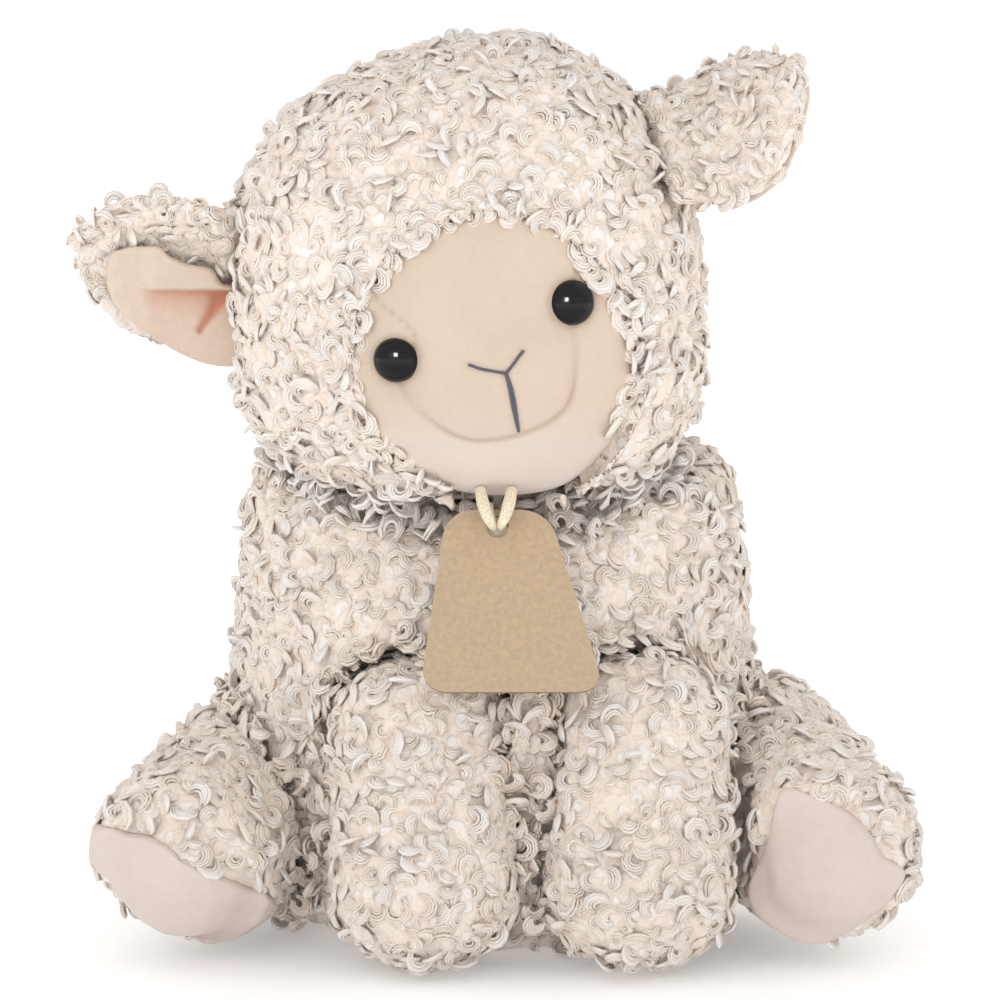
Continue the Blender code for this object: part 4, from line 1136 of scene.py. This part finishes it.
def lay_locks(spots, outs, tufts, pile, scale, rng):
    """Points of every lock as [lock, strand, step, xyz], with the strands' radius and shade."""
    count = len(spots)
    owner = nearest(spots, tufts)
    from_tuft = spots - tufts[owner]
    from_tuft -= outs * (from_tuft * outs).sum(1, keepdims=True)
    reach = np.linalg.norm(from_tuft, axis=1) / (TUFT_SPACING * scale / 2)
    hand = rng.choice([-1.0, 1.0], len(tufts))[owner]
    stray = unit_rows(np.cross(outs, rng.normal(size=(count, 3))))
    side = unit_rows(unit_rows(from_tuft) * FROM_TUFT + stray * STRAY)
    side = unit_rows(side - outs * (side * outs).sum(1, keepdims=True))
    ahead = np.cross(outs, side)
    lean = rng.normal(LEAN, LEAN_SPREAD, count)[:, None]
    rise = ahead * np.cos(lean) + outs * np.sin(lean)
    pile = np.broadcast_to(pile, count)
    height = pile * np.clip(TUFT_HEIGHT - TUFT_FALL * reach ** 2, *HEIGHT_LIMITS)
    height = height * rng.uniform(*HEIGHT_SPREAD, count)
    radius = rng.uniform(*LOOP, count) * scale
    turn = rng.uniform(*TURN, count) * hand
    step = np.linspace(0, 1, STEPS)[None, None, :]
    phase = rng.uniform(-PHASE, PHASE, (count, STRANDS, 1))
    angle = turn[:, None, None] * step + phase
    ring = radius[:, None, None] * (1 - SPIRAL * step)
    across = np.linspace(-1, 1, STRANDS)[None, :, None]
    widest = np.sin(np.pi * np.clip(step, 0.03, 0.97)) ** 0.7
    ring_out = ring + across * (BAND * scale * (BAND_END + (1 - BAND_END) * widest))
    bulge = np.sin(np.pi * np.clip(0.06 + step * 0.9, 0, 1)) ** 0.45
    arch_spread = rng.uniform(*ARCH_SPREAD, (count, STRANDS, 1)) * MM * scale
    arch = ARCH * scale * (1 - across ** 2) + arch_spread
    lift = height[:, None, None] * bulge + arch - ROOT
    cos, sin = np.cos(angle), np.sin(angle)
    points = (
        spots[:, None, None, :]
        + side[:, None, None, :] * (-ring_out * cos)[..., None]
        + rise[:, None, None, :] * (ring_out * sin)[..., None]
        + outs[:, None, None, :] * lift[..., None]
    )
    above = ((points - spots[:, None, None, :]) * outs[:, None, None, :]).sum(-1)
    high = pile[:, None, None] * PILE_TOP
    points -= outs[:, None, None, :] * np.maximum(above - high, 0)[..., None] * PRESSED
    above = np.minimum(above, high)
    thick = STRAND_RADIUS * scale * rng.uniform(*STRAND_SPREAD, (count, STRANDS, 1))
    fullest = np.sin(np.pi * np.clip(step, 0.04, 0.96)) ** 0.6
    thick = thick * (STRAND_TIP + (1 - STRAND_TIP) * fullest)
    # The tone is low deep in the pile: partly the roots' own tan, partly painted shade.
    tone = np.clip((above + TONE_DEPTH) / (PILE + TONE_DEPTH), 0, 1) * TONE_RISE + TONE_LOW
    tone = tone + rng.uniform(*TONE_SPREAD, (count, STRANDS, 1))
    return points, thick, np.clip(tone, *TONE_LIMITS)


print("a lock has", STRANDS * STEPS, "points")

# %% [markdown]
# ## Strands
# All of a form's strands are laid out as lines, which a node group turns into round strands.

# %%
STRAND_SIDES = 3


def strand_group():
    """Lines to round strands, with each line's radius."""
    group = bpy.data.node_groups.new("strands", "GeometryNodeTree")
    for way in ("INPUT", "OUTPUT"):
        group.interface.new_socket("Geometry", in_out=way, socket_type="NodeSocketGeometry")
    start = group.nodes.new("NodeGroupInput")
    end = group.nodes.new("NodeGroupOutput")
    curve = group.nodes.new("GeometryNodeMeshToCurve")
    circle = group.nodes.new("GeometryNodeCurvePrimitiveCircle")
    circle.inputs["Resolution"].default_value = STRAND_SIDES
    circle.inputs["Radius"].default_value = 1.0
    thickness = group.nodes.new("GeometryNodeInputNamedAttribute")
    thickness.inputs["Name"].default_value = "thickness"
    sweep = group.nodes.new("GeometryNodeCurveToMesh")
    sweep.inputs["Fill Caps"].default_value = True
    for source, target in (
        (start.outputs[0], curve.inputs["Mesh"]),
        (curve.outputs[0], sweep.inputs["Curve"]),
        (circle.outputs["Curve"], sweep.inputs["Profile Curve"]),
        (thickness.outputs["Attribute"], sweep.inputs["Scale"]),
        (sweep.outputs["Mesh"], end.inputs[0]),
    ):
        group.links.new(source, target)
    return group


STRAND_GROUP = strand_group()


def strand_mesh(name, points, thick, tone, rng):
    """One mesh of round strands, with the map that its material reads."""
    locks, strands, steps, _ = points.shape
    count = locks * strands * steps
    mesh = bpy.data.meshes.new(name)
    mesh.vertices.add(count)
    mesh.vertices.foreach_set("co", points.reshape(-1))
    first = np.arange(count).reshape(-1, steps)[:, :-1].ravel()
    mesh.edges.add(len(first))
    mesh.edges.foreach_set("vertices", np.column_stack([first, first + 1]).ravel())
    slot = rng.random((locks, strands, 1)) * np.ones((1, 1, steps))
    along = 0.02 + 0.85 * slot + 0.1 * np.linspace(0, 1, steps)
    for label, values in (("thickness", thick), ("tone", tone), ("along", along)):
        attribute = mesh.attributes.new(label, "FLOAT", "POINT")
        values = np.broadcast_to(values, (locks, strands, steps)).astype(np.float32)
        attribute.data.foreach_set("value", values.ravel())
    made = new_object(name, mesh)
    sweep = made.modifiers.new("strands", "NODES")
    sweep.node_group = STRAND_GROUP
    settle(made)
    mesh = made.data
    mesh.polygons.foreach_set("use_smooth", np.ones(len(mesh.polygons), bool))
    corner = read(mesh.loops, "vertex_index", 1, np.int32)
    along, tone = (
        read(mesh.attributes[label].data, "value", 1, np.float32)[corner] for label in ("along", "tone"))
    around = (corner % STRAND_SIDES) / STRAND_SIDES
    chart = np.column_stack([along, tone + 0.03 * around])
    for layer in list(mesh.uv_layers):
        mesh.uv_layers.remove(layer)
    layer = mesh.uv_layers.new(name="OFBake")
    layer.uv.foreach_set("vector", chart.astype(np.float32).ravel())
    for label in ("thickness", "tone", "along"):
        mesh.attributes.remove(mesh.attributes[label])
    return look_as(made, "curls")


print("strands have", STRAND_SIDES, "sides")

# %% [markdown]
# ## Where wool grows
# It is long where two forms lie close, fills the creases between them, hangs over the face's edge
# and leaves out what lies inside another form or under cloth.

# %%
LOCK_SPACING = 3.8 * MM
GROUND_TUFT = 4.4 * MM
GROUND_RISE = 0.9 * MM
GROUND_ROUGHNESS = 0.15 * MM
GROUND_FLOOR = 0.3 * MM
STRAND_FLOOR = 0.52 * MM
LONGEST_PILE = 9.0 * MM
LONG_PILE = 6 * MM
FAR_FORM = 30 * MM
GAP_SHARE = 0.62
MOST_LOCKS = 1000
FACE_EDGE_ROWS = ((0.6, 3.0), (3.6, 3.4), (7.0, 4.2))
CREASE_SPACING = 4.2 * MM
CREASE_REACH = 12.0 * MM
CREASE_LIFTS = (0.0, 0.4)
FACE_EDGE = smooth_line(FACE_OUTLINE, 120, closed=True)
CHIN_TOP = -53.0 * MM
CHIN_BARE = 1.18
PROBE = Vector((0.31, 0.24, 0.92)).normalized()


def roughen(skin, rng):
    """Raises a form's ground in small tufts."""
    mesh = skin.data
    tufts, _ = scatter(skin, GROUND_TUFT, rng)
    place = read(mesh.vertices, "co", 3)
    normal = read(mesh.vertex_normals, "vector", 3, np.float32)
    owner = nearest(place, tufts)
    gap = np.linalg.norm(place - tufts[owner], axis=1) / GROUND_TUFT
    lump = np.clip(1 - 1.6 * gap ** 2, 0, 1)
    rise = GROUND_RISE * (lump - 0.5) + rng.normal(0, GROUND_ROUGHNESS, len(place))
    place += normal * rise[:, None]
    if skin.name.startswith("body"):
        place[:, 2] = np.maximum(place[:, 2], GROUND_FLOOR)
    mesh.vertices.foreach_set("co", place.ravel())
    look_as(skin, "wool")
    mesh.update()


def longer_pile(spots, outs, pile, others):
    """Wool that is long where another form lies close across a crease, so that it fills the crease."""
    pile = np.full(len(spots), pile)
    for index, (spot, out) in enumerate(zip(spots, outs)):
        for other in others:
            gap = trees[other].ray_cast(Vector(spot + out * 0.5 * MM), Vector(out), FAR_FORM)[3]
            if gap is not None:
                pile[index] = max(pile[index], min(LONGEST_PILE, GAP_SHARE * gap))
    return pile


def crease_spots(first, second, rng):
    """Points in the crease between two forms, and the way out of it."""
    found = []
    for spot, out in zip(*scatter(skins[first], CREASE_SPACING, rng)):
        near, normal, _, gap = trees[second].find_nearest(Vector(spot), CREASE_REACH)
        if near is None:
            continue
        way = Vector(out) + normal
        if way.length < 0.5 or inside(trees[second], spot):
            continue
        way.normalize()
        for share in CREASE_LIFTS:
            found.append(((Vector(spot) + near) / 2 + way * gap * share, way))
    return [np.array([pair[i] for pair in found]).reshape(-1, 3) for i in range(2)]


def grow_fleece(body, pile, scale, keep, others=(), creases=(), more=()):
    """Covers a form with locks, in meshes that are small enough, and says how many there are."""
    skin = skins[body]
    spots, outs = scatter(skin, LOCK_SPACING * scale, rng)
    tufts, _ = scatter(skin, TUFT_SPACING * scale, rng)
    good = keep(spots, outs)
    spots, outs = spots[good], outs[good]
    pile = longer_pile(spots, outs, pile, others)
    extras = [crease_spots(body, other, rng) for other in creases] + list(more)
    for extra_spots, extra_outs in extras:
        spots = np.vstack([spots, extra_spots])
        outs = np.vstack([outs, extra_outs])
        pile = np.concatenate([pile, np.full(len(extra_spots), PILE)])
    tall = pile > LONG_PILE
    spots = np.vstack([spots, spots[tall]])
    outs = np.vstack([outs, outs[tall]])
    pile = np.concatenate([pile, pile[tall] * 0.5])
    roughen(skin, rng)
    turn = np.arctan2(spots[:, 0] - spots[:, 0].mean(), spots[:, 1] - spots[:, 1].mean())
    order = np.argsort(turn)
    spots, outs, pile = spots[order], outs[order], pile[order]
    points, thick, tone = lay_locks(spots, outs, tufts, pile, scale, rng)
    points[..., 2] = np.maximum(points[..., 2], STRAND_FLOOR)
    parts = math.ceil(len(spots) / MOST_LOCKS)
    for number, chunk in enumerate(np.array_split(np.arange(len(spots)), parts)):
        name = f"{body}_fleece_{number + 1}"
        made = strand_mesh(name, points[chunk], thick[chunk], tone[chunk], rng)
        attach(made, body)
    return len(spots)


def inside(tree, point):
    """Whether a point lies in a closed form: a line out of it crosses an odd number of times."""
    place = Vector(point)
    crossings = 0
    while True:
        hit, _, _, reach = tree.ray_cast(place, PROBE)
        if hit is None:
            return crossings % 2 == 1
        crossings += 1
        place = hit + PROBE * 0.01 * MM


def head_keep(spots, outs):
    """Leaves out the face, and the wool that would hang under the chin."""
    back = np.array(HEAD_TURN.inverted())
    local = spots @ back[:3, :3].T + back[:3, 3]
    hidden = in_outline(local[:, 0], local[:, 2], FACE_EDGE) & (local[:, 1] < 0)
    wider = FACE_MIDDLE + (FACE_EDGE - FACE_MIDDLE) * CHIN_BARE
    under = in_outline(local[:, 0], local[:, 2], wider) & (local[:, 1] < 0) & (local[:, 2] < CHIN_TOP)
    return ~(hidden | under)


def face_edge_locks():
    """Rows of locks just outside the face's outline, which hang over the cloth's edge."""
    rows = []
    for reach, spacing in FACE_EDGE_ROWS:
        ring = pushed_out(FACE_EDGE, FACE_MIDDLE, reach * MM)
        length = np.linalg.norm(np.diff(ring, axis=0), axis=1).sum()
        spots = []
        outs = []
        for x, z in smooth_line(ring[::4], int(length / (spacing * MM)), closed=True):
            if z < CHIN_TOP:
                continue
            spot, out = face_spot(x, z)
            spots.append(spot)
            outs.append(out)
        turn = np.array(HEAD_TURN)[:3, :3]
        rows.append((to_world(np.array(spots)), np.array(outs) @ turn.T))
    return rows


def not_down(spots, outs):
    """Leaves out the underside, which the toy sits on."""
    return (spots[:, 2] > 3 * MM) | (outs[:, 2] > -0.7)


def clear_of(*names):
    """A rule that keeps the spots that lie outside other forms 1 mm above their own."""
    def keep(spots, outs):
        good = np.ones(len(spots), bool)
        for index, (spot, out) in enumerate(zip(spots, outs)):
            place = spot + out * (1 * MM)
            good[index] = not any(inside(trees[name], place) for name in names)
        return good

    return keep


def off_cloth(name, lift, gap):
    """A rule that keeps the spots whose pile would stand clear of a piece of cloth."""
    tree = trees["cloth_" + name]

    def keep(spots, outs):
        places = spots + outs * lift
        return np.array([tree.find_nearest(Vector(place))[3] > gap for place in places], bool)

    return keep


def rules(*keeps):
    """A rule that keeps what all the given ones keep."""
    def keep(spots, outs):
        good = np.ones(len(spots), bool)
        for one in keeps:
            good[good] = one(spots[good], outs[good])
        return good

    return keep


print("face edge", len(FACE_EDGE), "points")

# %% [markdown]
# ## The fleece

# %%
LEGS = ["front_leg_left", "front_leg_right", "hind_leg_left", "hind_leg_right"]
EAR_PILE = 2.4 * MM
EAR_SCALE = 0.85
TAIL_SCALE = 0.9
rng = np.random.default_rng(SEED)
head_rule = rules(head_keep, clear_of("neck_band"))
body_rule = rules(not_down, clear_of("neck_band", "tail", *LEGS))
grown = {
    "head": grow_fleece("head", PILE, 1.0, head_rule, ["body"], (), face_edge_locks()),
    "body": grow_fleece("body", PILE, 1.0, body_rule, ["head"], ["head", *LEGS]),
    "neck_band": grow_fleece("neck_band", PILE, 1.0, clear_of("body", "head")),
    "tail": grow_fleece("tail", PILE, TAIL_SCALE, clear_of("body")),
}
for side in ("left", "right"):
    leg = "front_leg_" + side
    other = ["front_leg_right"] if side == "left" else []
    grown[leg] = grow_fleece(leg, PILE, 1.0, rules(not_down, clear_of("body")), (), other)
    leg = "hind_leg_" + side
    keep = rules(
        not_down, off_cloth(leg, 2.0 * MM, 1.6 * MM), clear_of("body", "front_leg_" + side))
    grown[leg] = grow_fleece(leg, PILE, 1.0, keep)
    ear = "ear_" + side
    keep = off_cloth(ear, 0.5 * MM, 2.0 * MM)
    if side == "right":
        keep = rules(keep, ear_edge_keep)
    grown[ear] = grow_fleece(ear, EAR_PILE, EAR_SCALE, keep)
print("locks", grown, "together", sum(grown.values()))

# %% [markdown]
# ## Stage and light

# %%
FLOOR_NEAR = 0.20
FLOOR_FADE = (0.25, 0.9)
FLOOR_HALF = 6.0
WHITE = (1.0, 1.0, 1.0)


def floor_looks(tree):
    """The floor is lit near the toy and plain white further off."""
    away = node(tree, "ShaderNodeVectorMath", object_place(tree), operation="LENGTH")
    glow = mix(away.step(*FLOOR_FADE), (FLOOR_NEAR,) * 3, WHITE)
    return {"Base Color": (0.9, 0.9, 0.9), "Emission Color": glow}


def make_stage():
    bm = bmesh.new()
    bmesh.ops.create_grid(bm, x_segments=1, y_segments=1, size=FLOOR_HALF)
    floor = from_bmesh("floor", bm)
    floor.data.materials.append(material("floor", floor_looks, Roughness=1.0, Emission_Strength=1.0))


def soft_light(name, place, size, power):
    data = bpy.data.lights.new(name, "AREA")
    data.shape = "SQUARE"
    data.size = size
    data.energy = power
    light = bpy.data.objects.new(name, data)
    light.location = place
    light.rotation_euler = (Vector(place) - TARGET).to_track_quat("Z", "Y").to_euler()
    bpy.context.scene.collection.objects.link(light)
    return light


def make_world():
    world = bpy.data.worlds.new("studio")
    bpy.context.scene.world = world
    world.use_nodes = True
    background = world.node_tree.nodes["Background"]
    background.inputs["Strength"].default_value = 1.0
    background.inputs["Color"].default_value = (*WHITE, 1.0)


make_stage()
soft_light("key", (-0.7, -1.5, 0.6), 0.8, 2.2)
soft_light("fill", (1.2, -1.3, 0.2), 1.2, 1.0)
glint = soft_light("glint", (-0.22, -1.35, 0.56), 0.36, 30.0)
glint.visible_diffuse = False
make_world()
print("lights", [light.name for light in bpy.data.lights])
